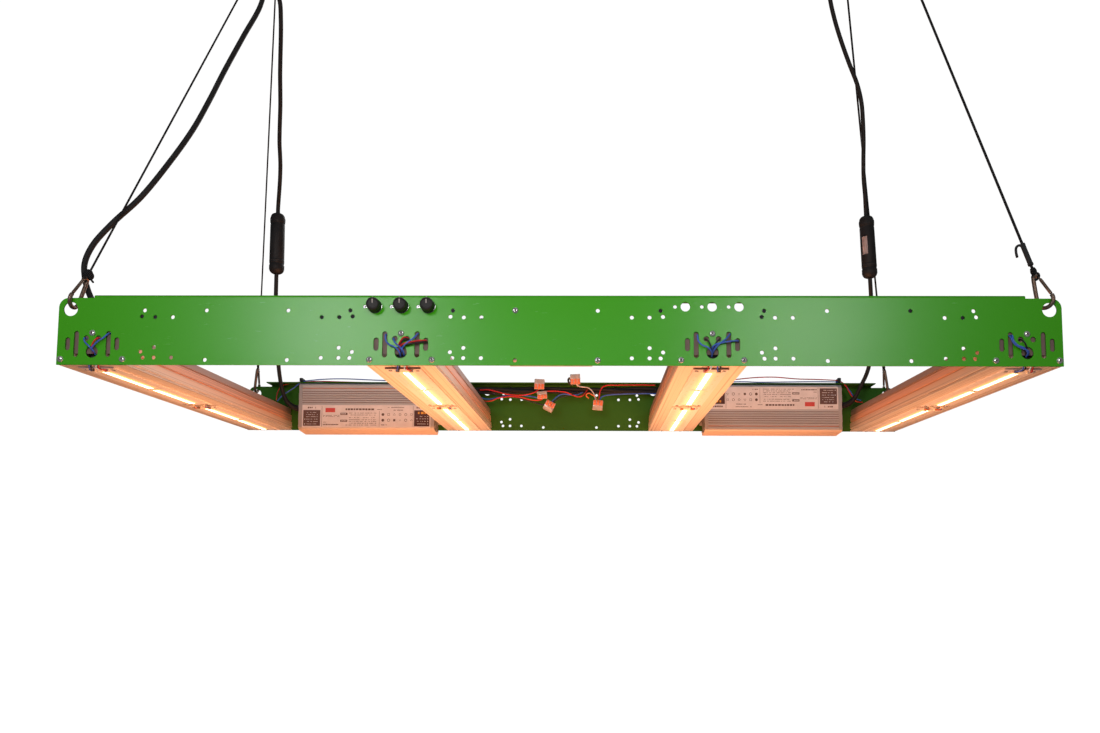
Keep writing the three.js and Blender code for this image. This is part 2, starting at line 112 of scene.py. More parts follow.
def material(name, **uniform):
    # a principled material: uniform values go on the shader's own sockets
    made = bpy.data.materials.new(name)
    made.use_nodes = True
    tree = made.node_tree
    shader = tree.nodes["Principled BSDF"]
    for key, value in uniform.items():
        shader.inputs[key.replace("_", " ")].default_value = value
    place = Wire(tree, tree.nodes.new("ShaderNodeTexCoord").outputs["Object"])
    return made, shader, place


def feed(shader, **wires):
    for key, wire in wires.items():
        wire.tree.links.new(wire.socket, shader.inputs[key.replace("_", " ")])


def noise(place, scale, detail=3, roughness=0.55, stretch=None):
    where = place
    if stretch:
        where = place.node("ShaderNodeMapping", {}, {"Vector": place, "Scale": stretch})
    return place.node("ShaderNodeTexNoise", {},
                      {"Vector": where, "Scale": scale, "Detail": detail, "Roughness": roughness})


def axes(place):
    return [place.node("ShaderNodeSeparateXYZ", {}, {0: place}, out=i) for i in range(3)]


def bump(height, strength, distance):
    return height.node("ShaderNodeBump", {},
                       {"Height": height, "Strength": strength, "Distance": distance})


# materials
def greenPowderCoat():
    made, shader, place = material("green powder coat", Specular_IOR_Level=0.5)
    y = axes(place)[1]
    cloud = noise(place, 3.0, 3)
    speckle = noise(place, 900.0, 2)
    scuff = noise(place, 26.0, 6, 0.75, (1, 1, 5)).above(0.68, 0.05)
    # one coat all over: the inner faces are only drawn darker, for the shade they stand in
    outer = abs(y).above(0.2991, 0.0003)
    base = outer.mix((0.018, 0.09, 0.001), (0.05, 0.37, 0.004))
    base = (cloud * 0.25).mix(base, (0.07, 0.4, 0.01))
    base = (speckle.above(0.6, 0.1) * 0.14).mix(base, (0.02, 0.13, 0.004))
    base = (scuff * 0.1).mix(base, (0.2, 0.42, 0.12))
    feed(shader, Base_Color=base, Roughness=0.74 - outer * 0.5 + cloud * 0.04 + scuff * 0.06,
         Normal=bump(speckle, 0.05, 0.0004))
    return made


def bandedAluminium():
    # extruded aluminium with die streaks; the warm underside and flanks and the brown fins are painted light
    # and painted shade in the colour, and the bare metal is paler
    made, shader, place = material("light bar aluminium", Metallic=0.35, Specular_IOR_Level=0.5)
    height = (axes(place)[2] + seatHeight / 1000) * 1000
    streak = noise(place, 420.0, 3, 0.6, (1, 0.002, 1))
    wide = noise(place, 46.0, 2, 0.5, (1, 0.004, 1))
    base = height.node("ShaderNodeValToRGB", {"stops": [
        (0.0, (0.9, 0.82, 0.74)), (0.34, (0.92, 0.64, 0.48)), (0.4, (0.92, 0.48, 0.31)),
        (0.66, (0.88, 0.44, 0.29)), (0.72, (0.32, 0.19, 0.15)), (1.0, (0.28, 0.19, 0.17))]},
        {0: height * (1 / 44.0)})
    base = (streak.above(0.56, 0.05) * 0.5).mix(base, (0.3, 0.17, 0.13))
    base = (wide * 0.2).mix(base, (0.95, 0.78, 0.66))
    feed(shader, Base_Color=base, Roughness=0.36 + streak * 0.22, Normal=bump(streak, 0.14, 0.0004))
    return made


def boardMask():
    # the boards' white mask; the chips' glow on it is drawn in as emission
    made, shader, place = material("board mask", Roughness=0.42, Emission_Strength=1.0)
    x, y = axes(place)[:2]
    near = None
    for middle in barPlaces:
        away = 1 - abs(x - middle / 1000).above(0.007, 0.007)
        near = away if near is None else near.maths("MAXIMUM", near, away)
    # no glow beside the screw in the middle of each board, nor between the boards
    away = abs(y)
    lit = away.above(0.025, 0.004) * (1 - away.above(0.27, 0.004))
    near = near * lit * abs(away - 0.147).above(0.006, 0.003)
    grain = noise(place, 260.0, 3)
    trace = noise(place, 90.0, 1, 0.4, (1, 0.05, 1)).above(0.57, 0.02)
    base = (grain * 0.3).mix((0.93, 0.9, 0.92), (0.84, 0.8, 0.82))
    base = (trace * 0.2).mix(base, (0.72, 0.56, 0.44))
    glow = near.mix((0, 0, 0), (0.75, 0.4, 0.09))
    feed(shader, Base_Color=base, Emission_Color=glow, Normal=bump(trace, 0.1, 0.0002))
    return made


def glowingPhosphor():
    made, shader, place = material("glowing phosphor", Base_Color=(1, 0.9, 0.62, 1), Roughness=0.4,
                                   Emission_Strength=14.0)
    mottle = noise(place, 700.0, 2)
    feed(shader, Emission_Color=mottle.mix((1.0, 0.5, 0.24), (1.0, 0.62, 0.36)))
    return made


def castHousing(name, dark, pale):
    made, shader, place = material(name, Metallic=0.3)
    height = (axes(place)[2] + seatHeight / 1000) * 1000
    grain = noise(place, 1300.0, 2)
    streak = noise(place, 240.0, 3, 0.6, (0.02, 1, 1))
    cloud = noise(place, 9.0, 3)
    base = (cloud * 0.8).mix(dark, pale)
    base = (1 - height.above(-4.5, 2.5)).mix(base, (0.95, 0.72, 0.6))  # warm light, drawn in
    feed(shader, Base_Color=base, Roughness=0.42 + streak * 0.2, Normal=bump(grain + streak, 0.12, 0.0004))
    return made


def plainFinish(name, colour, rough, grainScale=900.0, metal=0.0, spread=0.25, strength=0.15, **uniform):
    # a moulded, plated or painted finish: fine grain, worn tone and uneven roughness
    made, shader, place = material(name, Metallic=metal, **uniform)
    grain = noise(place, grainScale, 2)
    cloud = noise(place, 55.0, 4, 0.6)
    lighter = tuple(min(1, c * 1.35 + 0.012) for c in colour)
    darker = tuple(c * (1 - spread) for c in colour)
    base = cloud.mix(darker, lighter)
    feed(shader, Base_Color=base, Roughness=rough - 0.05 + cloud * 0.14,
         Normal=bump(grain, strength, 0.0003))
    return made


def wornHookSteel():
    made, shader, place = material("worn hook steel", Metallic=0.9)
    cloud = noise(place, 120.0, 4)
    scratch = noise(place, 900.0, 3, 0.6, (1, 1, 0.08))
    rust = noise(place, 210.0, 5, 0.7).above(0.56, 0.06)
    base = cloud.mix((0.26, 0.17, 0.13), (0.44, 0.32, 0.26))
    base = (rust * 0.4).mix(base, (0.3, 0.14, 0.07))
    feed(shader, Base_Color=base, Roughness=0.28 + scratch * 0.22 + rust * 0.18,
         Normal=bump(scratch, 0.15, 0.0002))
    return made


def braidedRope():
    made, shader, place = material("braided rope", Roughness=0.85, Specular_IOR_Level=0.2)
    waves = [place.node("ShaderNodeTexWave", {"bands_direction": "DIAGONAL"},
                        {"Vector": place.node("ShaderNodeMapping", {}, {"Vector": place, "Scale": (s, s, 1)}),
                         "Scale": 190.0, "Distortion": 0.6, "Detail": 1.0}, out=1) for s in (1, -1)]
    braid = waves[0].maths("MULTIPLY", waves[0], waves[1])
    base = braid.mix((0.006, 0.006, 0.007), (0.045, 0.043, 0.044))
    feed(shader, Base_Color=base, Normal=bump(braid, 0.6, 0.0004))
    return made


def clearMoulding():
    made, shader, place = material("clear moulding", Roughness=0.12, Transmission_Weight=0.55, IOR=1.5)
    haze = noise(place, 240.0, 3)
    # the haze is tinted warm: painted warm light on a clear part
    feed(shader, Base_Color=haze.mix((0.86, 0.68, 0.6), (0.95, 0.85, 0.8)))
    return made


dull = {"Specular_IOR_Level": 0.25}
finishes = {
    "green": greenPowderCoat(),
    "bar": bandedAluminium(),
    "board": boardMask(),
    "phosphor": glowingPhosphor(),
    "housing": castHousing("driver housing", (0.42, 0.39, 0.39), (0.6, 0.57, 0.57)),
    "cap": castHousing("driver cap", (0.36, 0.33, 0.33), (0.5, 0.47, 0.47)),
    "label": plainFinish("driver label", (0.66, 0.61, 0.61), 0.5, 600.0, spread=0.08, strength=0.05),
    "ink": plainFinish("label ink", (0.10, 0.055, 0.05), 0.55, spread=0.1, strength=0.03),
    "inkRed": plainFinish("red label patch", (0.52, 0.055, 0.045), 0.5, spread=0.1, strength=0.03),
    "inkBrown": plainFinish("brown label patch", (0.055, 0.012, 0.008), 0.5, spread=0.1, strength=0.03),
    "inkYellow": plainFinish("yellow label patch", (0.75, 0.32, 0.01), 0.5, spread=0.1, strength=0.03),
    "rib": plainFinish("rib shadow line", (0.5, 0.2, 0.13), 0.5, spread=0.1, strength=0.03),
    "zinc": plainFinish("bright zinc", (0.83, 0.80, 0.77), 0.24, 1500.0, metal=0.85, spread=0.12),
    # painted shade in the screws' recesses and the terminals' mouths
    "recess": plainFinish("painted recess shade", (0.09, 0.06, 0.06), 0.5),
    "nickel": plainFinish("nickel plate", (0.8, 0.79, 0.77), 0.2, 1500.0, metal=1.0, spread=0.12),
    "hook": wornHookSteel(),
    "black": plainFinish("black moulding", (0.014, 0.013, 0.014), 0.46, 1600.0, spread=0.4,
                         strength=0.25, **dull),
    "blackGrip": plainFinish("knob plastic", (0.022, 0.018, 0.018), 0.4, 1400.0, spread=0.4,
                             strength=0.2, **dull),
    "pointer": plainFinish("pointer paint", (0.50, 0.42, 0.38), 0.5, spread=0.15),
    "rope": braidedRope(),
    "jacket": plainFinish("cable jacket", (0.013, 0.012, 0.0125), 0.5, 700.0, spread=0.4,
                          strength=0.2, **dull),
    "red": plainFinish("red insulation", (0.62, 0.012, 0.014), 0.32, 900.0, spread=0.3),
    "blue": plainFinish("blue insulation", (0.05, 0.12, 0.52), 0.32, 900.0, spread=0.3),
    "dark": plainFinish("black insulation", (0.012, 0.01, 0.012), 0.34, 900.0, spread=0.3),
    "white": plainFinish("white insulation", (0.78, 0.72, 0.68), 0.4, 900.0, spread=0.1),
    "tie": plainFinish("nylon tie", (0.012, 0.012, 0.014), 0.38, 900.0, spread=0.3, **dull),
    "clear": clearMoulding(),
    "lever": plainFinish("orange lever", (0.86, 0.16, 0.035), 0.34, 900.0, spread=0.18, Coat_Weight=0.2),
    "copper": plainFinish("copper strand", (0.8, 0.34, 0.17), 0.3, 1500.0, metal=1.0, spread=0.2),
    # painted shade: dark plates behind the rails' slots and dark strips in the drivers' grooves
    "endShade": plainFinish("shaded bar end", (0.16, 0.1, 0.085), 0.6, 900.0, spread=0.2),
    "boardEdge": plainFinish("board edge", (0.2, 0.1, 0.075), 0.6, 900.0, spread=0.2),
    # white terminal housings tinted warm: painted warm light
    "terminal": plainFinish("terminal housing", (0.88, 0.68, 0.55), 0.42, 900.0, spread=0.12),
    # silver tinted warm: painted warm light
    "silverLabel": plainFinish("silver label", (0.66, 0.52, 0.5), 0.35, 500.0, spread=0.25),
    "strap": plainFinish("woven strap", (0.02, 0.02, 0.022), 0.8, 500.0, spread=0.4, strength=0.5),
}
print("materials", len(finishes))


# camera, floor and light
def makeStage():
    shot = {"focal": 28.76, "sensor": 36.0, "place": (0.0472, -1.3532, -1.3083),
            "up": 94.82, "turn": 0.76, "roll": 0.26, "shift": (-0.030, 0.0975)}
    data = bpy.data.cameras.new("camera")
    camera = bpy.data.objects.new("camera", data)
    bpy.context.scene.collection.objects.link(camera)
    data.lens, data.sensor_width = shot["focal"], shot["sensor"]
    data.shift_x, data.shift_y = shot["shift"]
    data.clip_start, data.clip_end = 0.05, 100
    turn = [math.radians(shot[k]) for k in ("turn", "up", "roll")]
    camera.matrix_world = (Matrix.Translation(shot["place"]) @ Matrix.Rotation(turn[0], 4, "Z")
                           @ Matrix.Rotation(turn[1], 4, "X") @ Matrix.Rotation(turn[2], 4, "Z"))
    bpy.context.scene.camera = camera
    bpy.context.scene.view_settings.view_transform = "Standard"

    # the world shows white behind the object and gives only a little light
    world = bpy.data.worlds.new("studio")
    world.use_nodes = True
    tree = world.node_tree
    back = tree.nodes["Background"]
    back.inputs["Color"].default_value = (1, 1, 1, 1)
    seen = Wire(tree, tree.nodes.new("ShaderNodeLightPath").outputs["Is Camera Ray"])
    tree.links.new((seen * 0.95 + 0.08).socket, back.inputs["Strength"])
    bpy.context.scene.world = world

    lamps = {  # place, aim, size in m, watts, colour
        "left box": ((-0.9, -2.5, -0.5), (-0.3, -0.3, -1.05), (0.5, 0.5), 8.5, (1, 1, 1)),
        "right box": ((0.8, -2.5, -0.5), (0.27, -0.3, -1.05), (0.5, 0.5), 6.5, (1, 1, 1)),
        "front fill": ((-0.12, -1.3, -0.95), (-0.08, -0.3, -1.05), (0.5, 0.3), 5.2, (1, 1, 1)),
        "under glow": ((0, 0, -1.36), (0, 0, -1.0), (1.12, 0.58), 7.0, (1.0, 0.39, 0.15)),
        "back fill": ((0.9, 2.8, 0.3), (0, 0, -1.0), (2.0, 2.0), 20, (1, 1, 1)),
        "top fill": ((0, 0, 1.2), (0, 0, -1.0), (1.6, 1.6), 3, (1, 1, 1)),
    }
    for name, (place, aim, size, watts, colour) in lamps.items():
        lamp = bpy.data.lights.new(name, "AREA")
        lamp.shape, lamp.energy, lamp.color = "RECTANGLE", watts, colour
        lamp.size, lamp.size_y = size
        holder = bpy.data.objects.new(name, lamp)
        holder.location = place
        holder.rotation_euler = (Vector(aim) - Vector(place)).to_track_quat("-Z", "Y").to_euler()
        holder.visible_camera = False
        holder.visible_glossy = name != "front fill"
        bpy.context.scene.collection.objects.link(holder)

    ground = bmesh.new()
    bmesh.ops.create_grid(ground, x_segments=2, y_segments=2, size=30,
                          matrix=Matrix.Translation((0, 0, -2.6)))
    mesh = bpy.data.meshes.new("floor")
    ground.to_mesh(mesh)
    ground.free()
    floor = bpy.data.objects.new("floor", mesh)
    pale, shader, place = material("pale floor", Roughness=0.9, Emission_Strength=1.05,
                                   Emission_Color=(1, 1, 1, 1))
    feed(shader, Base_Color=noise(place, 0.6, 2).mix((0.93, 0.93, 0.93), (0.97, 0.97, 0.97)))
    mesh.materials.append(pale)
    bpy.context.scene.collection.objects.link(floor)
    floor.visible_diffuse = floor.visible_glossy = floor.visible_transmission = False
    print("stage")


makeStage()


# making pieces
def join(bm, other):
    # takes the other bmesh's faces into bm, and frees it
    mesh = bpy.data.meshes.new("joined")
    other.to_mesh(mesh)
    other.free()
    bm.from_mesh(mesh)
    bpy.data.meshes.remove(mesh)


def outlineMesh(data):
    # a curve's faces as a new bmesh, leaving no object behind
    holder = bpy.data.objects.new("outline", data)
    bpy.context.scene.collection.objects.link(holder)
    mesh = bpy.data.meshes.new_from_object(holder.evaluated_get(bpy.context.evaluated_depsgraph_get()))
    bpy.data.objects.remove(holder)
    bm = bmesh.new()
    bm.from_mesh(mesh)
    bpy.data.meshes.remove(mesh)
    return bm


def addSpline(data, line, closed=False):
    spline = data.splines.new("POLY")
    spline.points.add(len(line) - 1)
    for point, place in zip(spline.points, line):
        point.co = (*place, 1)
    spline.use_cyclic_u = closed
    return spline


def finishPiece(name, bm, finish, body=lightBody, smooth=40, flats=0):
    # turns a bmesh in frame metres into a piece that rides on its body; faces over flats mm2 stay flat
    bmesh.ops.remove_doubles(bm, verts=bm.verts, dist=1e-7)
    bmesh.ops.recalc_face_normals(bm, faces=bm.faces)
    name = name.replace(" ", "_")
    mesh = bpy.data.meshes.new(name)
    bm.to_mesh(mesh)
    bm.free()
    kinds = finish if isinstance(finish, (list, tuple)) else [finish]
    for kind in kinds:
        mesh.materials.append(finishes[kind])
    piece = bpy.data.objects.new(name, mesh)
    bpy.context.scene.collection.objects.link(piece)
    mesh.polygons.foreach_set("use_smooth", [True] * len(mesh.polygons))
    mesh.set_sharp_from_angle(angle=math.radians(smooth))
    for face in mesh.polygons:
        if flats and (max(map(abs, face.normal)) > 0.9999 or face.area > flats * 1e-6):
            face.use_smooth = False
    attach(piece, body)
    return piece


def block(bm, low, high, round=0.4, steps=2, kind=0):
    # a box between two corners in mm, with rounded edges
    middle = (Vector(low) + Vector(high)) / 2
    size = Vector(high) - Vector(low)
    made = bmesh.ops.create_cube(bm, size=1, matrix=Matrix.Diagonal((*(size / 1000), 1)))
    edges = {e for v in made["verts"] for e in v.link_edges}
    faces = {f for v in made["verts"] for f in v.link_faces}
    for face in faces:
        face.material_index = kind
    verts = list(made["verts"])
    if round:
        result = bmesh.ops.bevel(bm, geom=list(edges), offset=round / 1000, affect="EDGES",
                                 segments=steps, profile=0.5, material=-1)
        verts = list({v for f in result["faces"] for v in f.verts} | {v for v in verts if v.is_valid})
    bmesh.ops.transform(bm, verts=verts, matrix=Matrix.Translation(at(*middle)))
    return verts


def towards(a, b):
    # a matrix at a whose +Z points to b
    return Matrix.Translation(a) @ (b - a).to_track_quat("Z", "X").to_matrix().to_4x4()


def rod(bm, a, b, radius, sides=16, end=None, round=0.0, kind=0):
    # a round bar or cone between two points in frame metres; radii in mm
    made = bmesh.ops.create_cone(
        bm, cap_ends=True, segments=sides, radius1=radius / 1000,
        radius2=(radius if end is None else end) / 1000, depth=(b - a).length,
        matrix=towards(a, b) @ Matrix.Translation((0, 0, (b - a).length / 2)))
    for face in {f for v in made["verts"] for f in v.link_faces}:
        face.material_index = kind
    if round:
        rims = {e for v in made["verts"] for e in v.link_edges
                if any(len(f.verts) > 4 for f in e.link_faces)}
        bmesh.ops.bevel(bm, geom=list(rims), offset=round / 1000, affect="EDGES", segments=2,
                        profile=0.5, material=-1)


def turned(bm, profile, frameMatrix, sides=32, kind=0):
    # spins (radius, height) points in mm about the frame's Z
    verts = [bm.verts.new((r / 1000, 0, h / 1000)) for r, h in profile]
    edges = [bm.edges.new(pair) for pair in zip(verts, verts[1:])]
    bmesh.ops.spin(bm, geom=verts + edges, cent=(0, 0, 0), axis=(0, 0, 1),
                   angle=2 * math.pi, steps=sides, use_merge=True)
    faces = {f for v in verts for f in v.link_faces}
    todo = list(faces)
    while todo:
        for edge in todo.pop().edges:
            for face in edge.link_faces:
                if face not in faces:
                    faces.add(face)
                    todo.append(face)
    points = list({v for f in faces for v in f.verts})
    for face in faces:
        face.material_index = kind
    bmesh.ops.remove_doubles(bm, verts=points, dist=1e-7)
    points = [v for v in points if v.is_valid]
    bmesh.ops.transform(bm, verts=points, matrix=frameMatrix)


def smoothRoute(points, per=8):
    # a centripetal curve through the points, as the frame's tubes have
    pts = [Vector(p) for p in points]
    pts = [pts[0] * 2 - pts[1]] + pts + [pts[-1] * 2 - pts[-2]]
    line = []
    for p0, p1, p2, p3 in zip(pts, pts[1:], pts[2:], pts[3:]):
        gaps = [max((b - a).length_squared ** 0.25, 1e-6) for a, b in ((p0, p1), (p1, p2), (p2, p3))]
        t1 = ((p1 - p0) / gaps[0] - (p2 - p0) / (gaps[0] + gaps[1]) + (p2 - p1) / gaps[1]) * gaps[1]
        t2 = ((p2 - p1) / gaps[1] - (p3 - p1) / (gaps[1] + gaps[2]) + (p3 - p2) / gaps[2]) * gaps[1]
        for i in range(per):
            t = i / per
            line.append(p1 + t1 * t + (3 * (p2 - p1) - 2 * t1 - t2) * t * t
                        + (2 * (p1 - p2) + t1 + t2) * t ** 3)
    line.append(pts[-2])
    return line


def lengthOf(line):
    return sum((b - a).length for a, b in zip(line, line[1:]))


def cable(name, line, radius, finish, sides=3, body=lightBody):
    # a round cord along a line in frame metres, as one open curve
    name = name.replace(" ", "_")
    data = bpy.data.curves.new(name, "CURVE")
    data.dimensions = "3D"
    data.bevel_depth, data.bevel_resolution, data.use_fill_caps = radius / 1000, sides, True
    addSpline(data, line).use_smooth = True
    data.materials.append(finishes[finish])
    piece = bpy.data.objects.new(name, data)
    bpy.context.scene.collection.objects.link(piece)
    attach(piece, body)
    return piece


def flatPlate(name, outer, holes, thick, matrix, finish, body=lightBody, edge=0.2):
    # a sheet cut to an outline with holes, in mm in its own plane, then placed by a matrix
    data = bpy.data.curves.new(name, "CURVE")
    data.dimensions, data.fill_mode = "2D", "BOTH"
    data.extrude, data.bevel_depth = (thick / 2 - edge) / 1000, edge / 1000
    data.bevel_resolution, data.offset = 1, -edge / 1000
    for ring in [outer, *holes]:
        addSpline(data, [(x / 1000, y / 1000, 0) for x, y in ring], True)
    bm = outlineMesh(data)
    bmesh.ops.remove_doubles(bm, verts=bm.verts, dist=2e-6)
    bmesh.ops.transform(bm, verts=bm.verts, matrix=matrix)
    if finish is None:
        return bm
    return finishPiece(name, bm, finish, body, 30)


def ringOf(x, y, radius, count=28):
    return [(x + radius * math.cos(2 * math.pi * i / count),
             y + radius * math.sin(2 * math.pi * i / count)) for i in range(count)]


def slotOf(x, low, high, width, count=8):
    r = width / 2
    top = [(x + r * math.cos(math.pi * i / count), high - r + r * math.sin(math.pi * i / count))
           for i in range(count + 1)]
    return top + [(x - (px - x), low + high - py) for px, py in top]


def roundedRect(x0, y0, x1, y1, r, count=5):
    corners = [(x1 - r, y1 - r, 0), (x0 + r, y1 - r, 1), (x0 + r, y0 + r, 2), (x1 - r, y0 + r, 3)]
    turns = [(cx, cy, math.pi / 2 * (q + i / count)) for cx, cy, q in corners for i in range(count + 1)]
    return [(cx + r * math.cos(a), cy + r * math.sin(a)) for cx, cy, a in turns]


# the corners: hook, rope and ring, as the frame has them
hookSize = {"wire": 2.5, "length": 44, "bow": 9.5, "neck": 3.4, "gate": 1.9}
ringSize = {"wire": 2.5, "radius": 17.5, "left": (-475.7, 785), "right": (425.9, 1055.4)}
leadSize = {"radius": 3.75, "drawn": 3.68, "coil": 38, "turns": 4, "drop": 30}
coilHalf = 2 * leadSize["radius"] + 0.15


def cornerFrames():
    corners = {}
    for sx, sy, name in ((-1, -1, "front_left"), (1, -1, "front_right"),
                         (-1, 1, "back_left"), (1, 1, "back_right")):
        turnedHook = sx > 0 and sy < 0
        base = Vector((sx * 598.7 - (1.2 if turnedHook else 0), sy * 299, 73.5))
        ringX, ringZ = ringSize["left" if sx < 0 else "right"]
        rise = ringSize["radius"] - math.sqrt(ringSize["radius"] ** 2 - 4.5 ** 2)
        top = Vector((ringX, sy * 4.5, ringZ + rise))
        up = (top - base).normalized()
        turn = math.pi / 5 if turnedHook else 0
        out = Vector((math.sin(turn), sy * math.cos(turn), 0))
        across = (out - up * out.dot(up)).normalized()
        corners[name] = {"base": base, "top": top, "up": up, "across": across,
                         "side": "left" if sx < 0 else "right",
                         "radius": 1.3 if sx < 0 else 1.7, "body": "gate_" + name}
    return corners


corners = cornerFrames()


def ringFrame(side):
    x, z = ringSize[side]
    base = corners["back_" + side]["base"]
    foot = Vector((x, 0, z))
    return foot, Vector((x - base.x, 0, z - base.z)).normalized()


def inHook(corner, u, v, w=0.0):
    # a point in the hook's own plane: u across with the gate on +u, v along the rope
    third = corner["across"].cross(corner["up"])
    return at(*(corner["base"] + corner["across"] * u + corner["up"] * v + third * w))


# ropes with their knots, hooks and rings
def makeRopes():
    pieces = {}
    for name, c in corners.items():
        start = c["base"] + c["up"] * (hookSize["length"] + hookSize["wire"] + 0.3)
        end = c["top"] - c["up"] * (ringSize["wire"] + 0.7)
        line = [at(*start.lerp(end, i / 24)) for i in range(25)]
        rope = cable("braided rope " + name, line, c["radius"], "rope", 3)
        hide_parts("rope_" + name)
        foot = eyeLoop("rope eye " + name, c, start, -1)
        head = eyeLoop("ring whipping " + name, c, end, 1)
        extra = ropeDetail(name, c, start)
        pieces[name] = (rope, line, c, [foot, head, *extra])
    return pieces


def eyeLoop(name, c, point, way):
    # the rope's doubled end round the hook's neck or the ring, with a short whipping
    r = c["radius"]
    centre = point + c["up"] * way * (0.3 + 2.5)
    third = Vector((0, 1, 0)).cross(c["up"]).normalized() if way > 0 else c["across"]
    wire = 2.5 + r + 0.15
    pts = []
    for i in range(15):
        a = math.radians(-60 + 300 * i / 14)
        pts.append(centre + third * math.cos(a) * wire + c["up"] * way * math.sin(a) * wire)
    neck = point - c["up"] * way * 9
    pts = [neck + third * r * 0.9, pts[0] * 0.5 + neck * 0.5 + third * r, *pts,
           pts[-1] * 0.5 + neck * 0.5 - third * r, neck - third * r * 0.9]
    line = smoothRoute([at(*p) for p in pts], 3)
    data = bpy.data.curves.new(name, "CURVE")
    data.dimensions, data.bevel_depth, data.bevel_resolution = "3D", r * 0.8 / 1000, 2
    data.use_fill_caps = True
    addSpline(data, line)
    bm = outlineMesh(data)
    for i in range(5):
        low = point - c["up"] * way * (8.5 - i * 1.7)
        frameHere = towards(at(*low), at(*(low + c["up"])))
        profile = [(r + 0.2, -0.85), (r * 1.75, -0.5), (r * 1.85, 0), (r * 1.75, 0.5), (r + 0.2, 0.85)]
        turned(bm, profile, frameHere, 12)
    return finishPiece(name, bm, "rope", smooth=60)


def ropeDetail(name, c, start):
    # the overhand knot on one rope, and the taped and doubled end of another
    if name == "front_left":
        bm = bmesh.new()
        middle = start + c["up"] * 3
        for k in range(3):
            tilt = Matrix.Rotation(math.radians(28 * (k - 1)), 4, "X") @ Matrix.Rotation(k * 1.1, 4, "Z")
            made = bmesh.ops.create_uvsphere(bm, u_segments=16, v_segments=9, radius=0.0062)
            squash = Matrix.Diagonal((1.15, 0.85, 0.78, 1))
            bmesh.ops.transform(bm, verts=made["verts"], matrix=(
                Matrix.Translation(at(*middle) + Vector((0, 0, 0.0021 * (k - 1)))) @ tilt @ squash))
        rod(bm, at(*(middle + Vector((0, 0, -2)))), at(*(middle + Vector((9, -4, -11)))), 1.3, 10)
        return [finishPiece("overhand knot", bm, "rope", smooth=60)]
    if name == "front_right":
        bm = bmesh.new()
        for low, high, r in ((16, 44, 3.1), (14, 17, 3.4), (43, 46, 3.3)):
            rod(bm, at(*(start + c["up"] * low)), at(*(start + c["up"] * high)), r, 14, round=0.5)
        hookTail = [(0, 40), (-4, 44), (-9, 41), (-12, 33), (-13, 26)]
        line = smoothRoute([at(*(start + c["up"] * v + Vector((u, 0, 0)))) for u, v in hookTail], 4)
        for a, b in zip(line, line[1:]):
            rod(bm, a, b, 1.6, 10)
        return [finishPiece("taped rope end", bm, "strap", smooth=60)]
    return []


def makeHooks():
    size = hookSize
    for name, c in corners.items():
        words = name.replace("_", " ")
        points = []
        for i in range(13):
            a = math.radians(15 - 195 * i / 12)
            points.append((size["bow"] * math.cos(a), size["bow"] * (1 + math.sin(a))))
        for i in range(6):
            a = math.radians(180 - 30 * i)
            points.append((size["neck"] * math.cos(a) - 0.6,
                           size["length"] - size["neck"] + size["neck"] * math.sin(a)))
        line = smoothRoute([inHook(c, *p) for p in points], 5)
        wire = cable("hook wire " + words, line, size["wire"], "hook", 5)
        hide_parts("carabiner_" + name)
        # the gate, its pin and its latch nose
        foot = (9.18, 12.69)
        pivot = (3.244, 39.7)
        reach = math.hypot(foot[0] - pivot[0], foot[1] - pivot[1])

        def along(d, w=0.0):
            return inHook(c, pivot[0] + (foot[0] - pivot[0]) * d / reach,
                          pivot[1] + (foot[1] - pivot[1]) * d / reach, w)
        bm = bmesh.new()
        rod(bm, along(2), along(reach - 1.2), size["gate"], 20, round=0.4)
        turned(bm, [(size["gate"], 0), (size["gate"] + 0.14, 0.3), (size["gate"] + 0.14, 0.9),
                    (size["gate"], 1.2)], towards(along(5), along(9)), 20)
        gate = finishPiece("hook gate " + words, bm, "hook", c["body"])
        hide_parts("carabiner_gate_" + name)
        bm = bmesh.new()
        rod(bm, along(0.4, -2.6), along(0.4, 2.6), 0.8, 14, round=0.2)
        nose = inHook(c, 9.18, 11.96)
        rod(bm, nose, nose + (along(reach - 2) - nose) * 0.45, 1.0, 12, round=0.2)
        finishPiece("hook pin " + words, bm, "hook")


def makeRings():
    rings = {}
    for side in ("left", "right"):
        foot, up = ringFrame(side)
        centre = foot + up * ringSize["radius"]
        out = Vector((up.z, 0, -up.x))
        bm = bmesh.new()
        r = ringSize["wire"] / 1000
        made = bmesh.ops.create_circle(bm, segments=20, radius=r)
        outward = Matrix.Translation((ringSize["radius"] / 1000, 0, 0))
        bmesh.ops.transform(bm, verts=made["verts"], matrix=outward @ Matrix.Rotation(math.pi / 2, 4, "X"))
        bmesh.ops.spin(bm, geom=list(bm.verts) + list(bm.edges), cent=(0, 0, 0), axis=(0, 0, 1),
                       angle=2 * math.pi, steps=56, use_merge=True)
        bmesh.ops.remove_doubles(bm, verts=bm.verts, dist=1e-6)
        bmesh.ops.transform(bm, verts=bm.verts, matrix=towards(at(*centre), at(*(centre + out))))
        rings[side] = finishPiece("hanging ring " + side, bm, "hook", smooth=60)
        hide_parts("hanger_ring_" + side)
    return rings


makeHooks()
rings = makeRings()
ropes = makeRopes()
for name, (rope, line, c, extras) in ropes.items():
    pieces = extras + ([rings[c["side"]]] if name.startswith("back") else [])
    lengthOf(line)
    c["radius"] * 2 / 1000
print("ropes, hooks and rings")

# leads: set one by one up to their coils, in mm above the rails' underside
glandEnd = 507.6
coils = {
    "left": {"ring": "left", "face": -1, "entry": 1},
    "right": {"ring": "right", "face": 1, "entry": 1},
    "aux": {"ring": "left", "face": 1, "entry": -1},
}
for coil in coils.values():
    foot, up = ringFrame(coil["ring"])
    coil["up"], coil["side"] = up, Vector((0, coil["entry"], 0))
    coil["out"] = Vector((up.z, 0, -up.x)) * coil["face"]
    coil["centre"] = foot - up * leadSize["drop"] + coil["out"] * (ringSize["wire"] + coilHalf + 0.5)


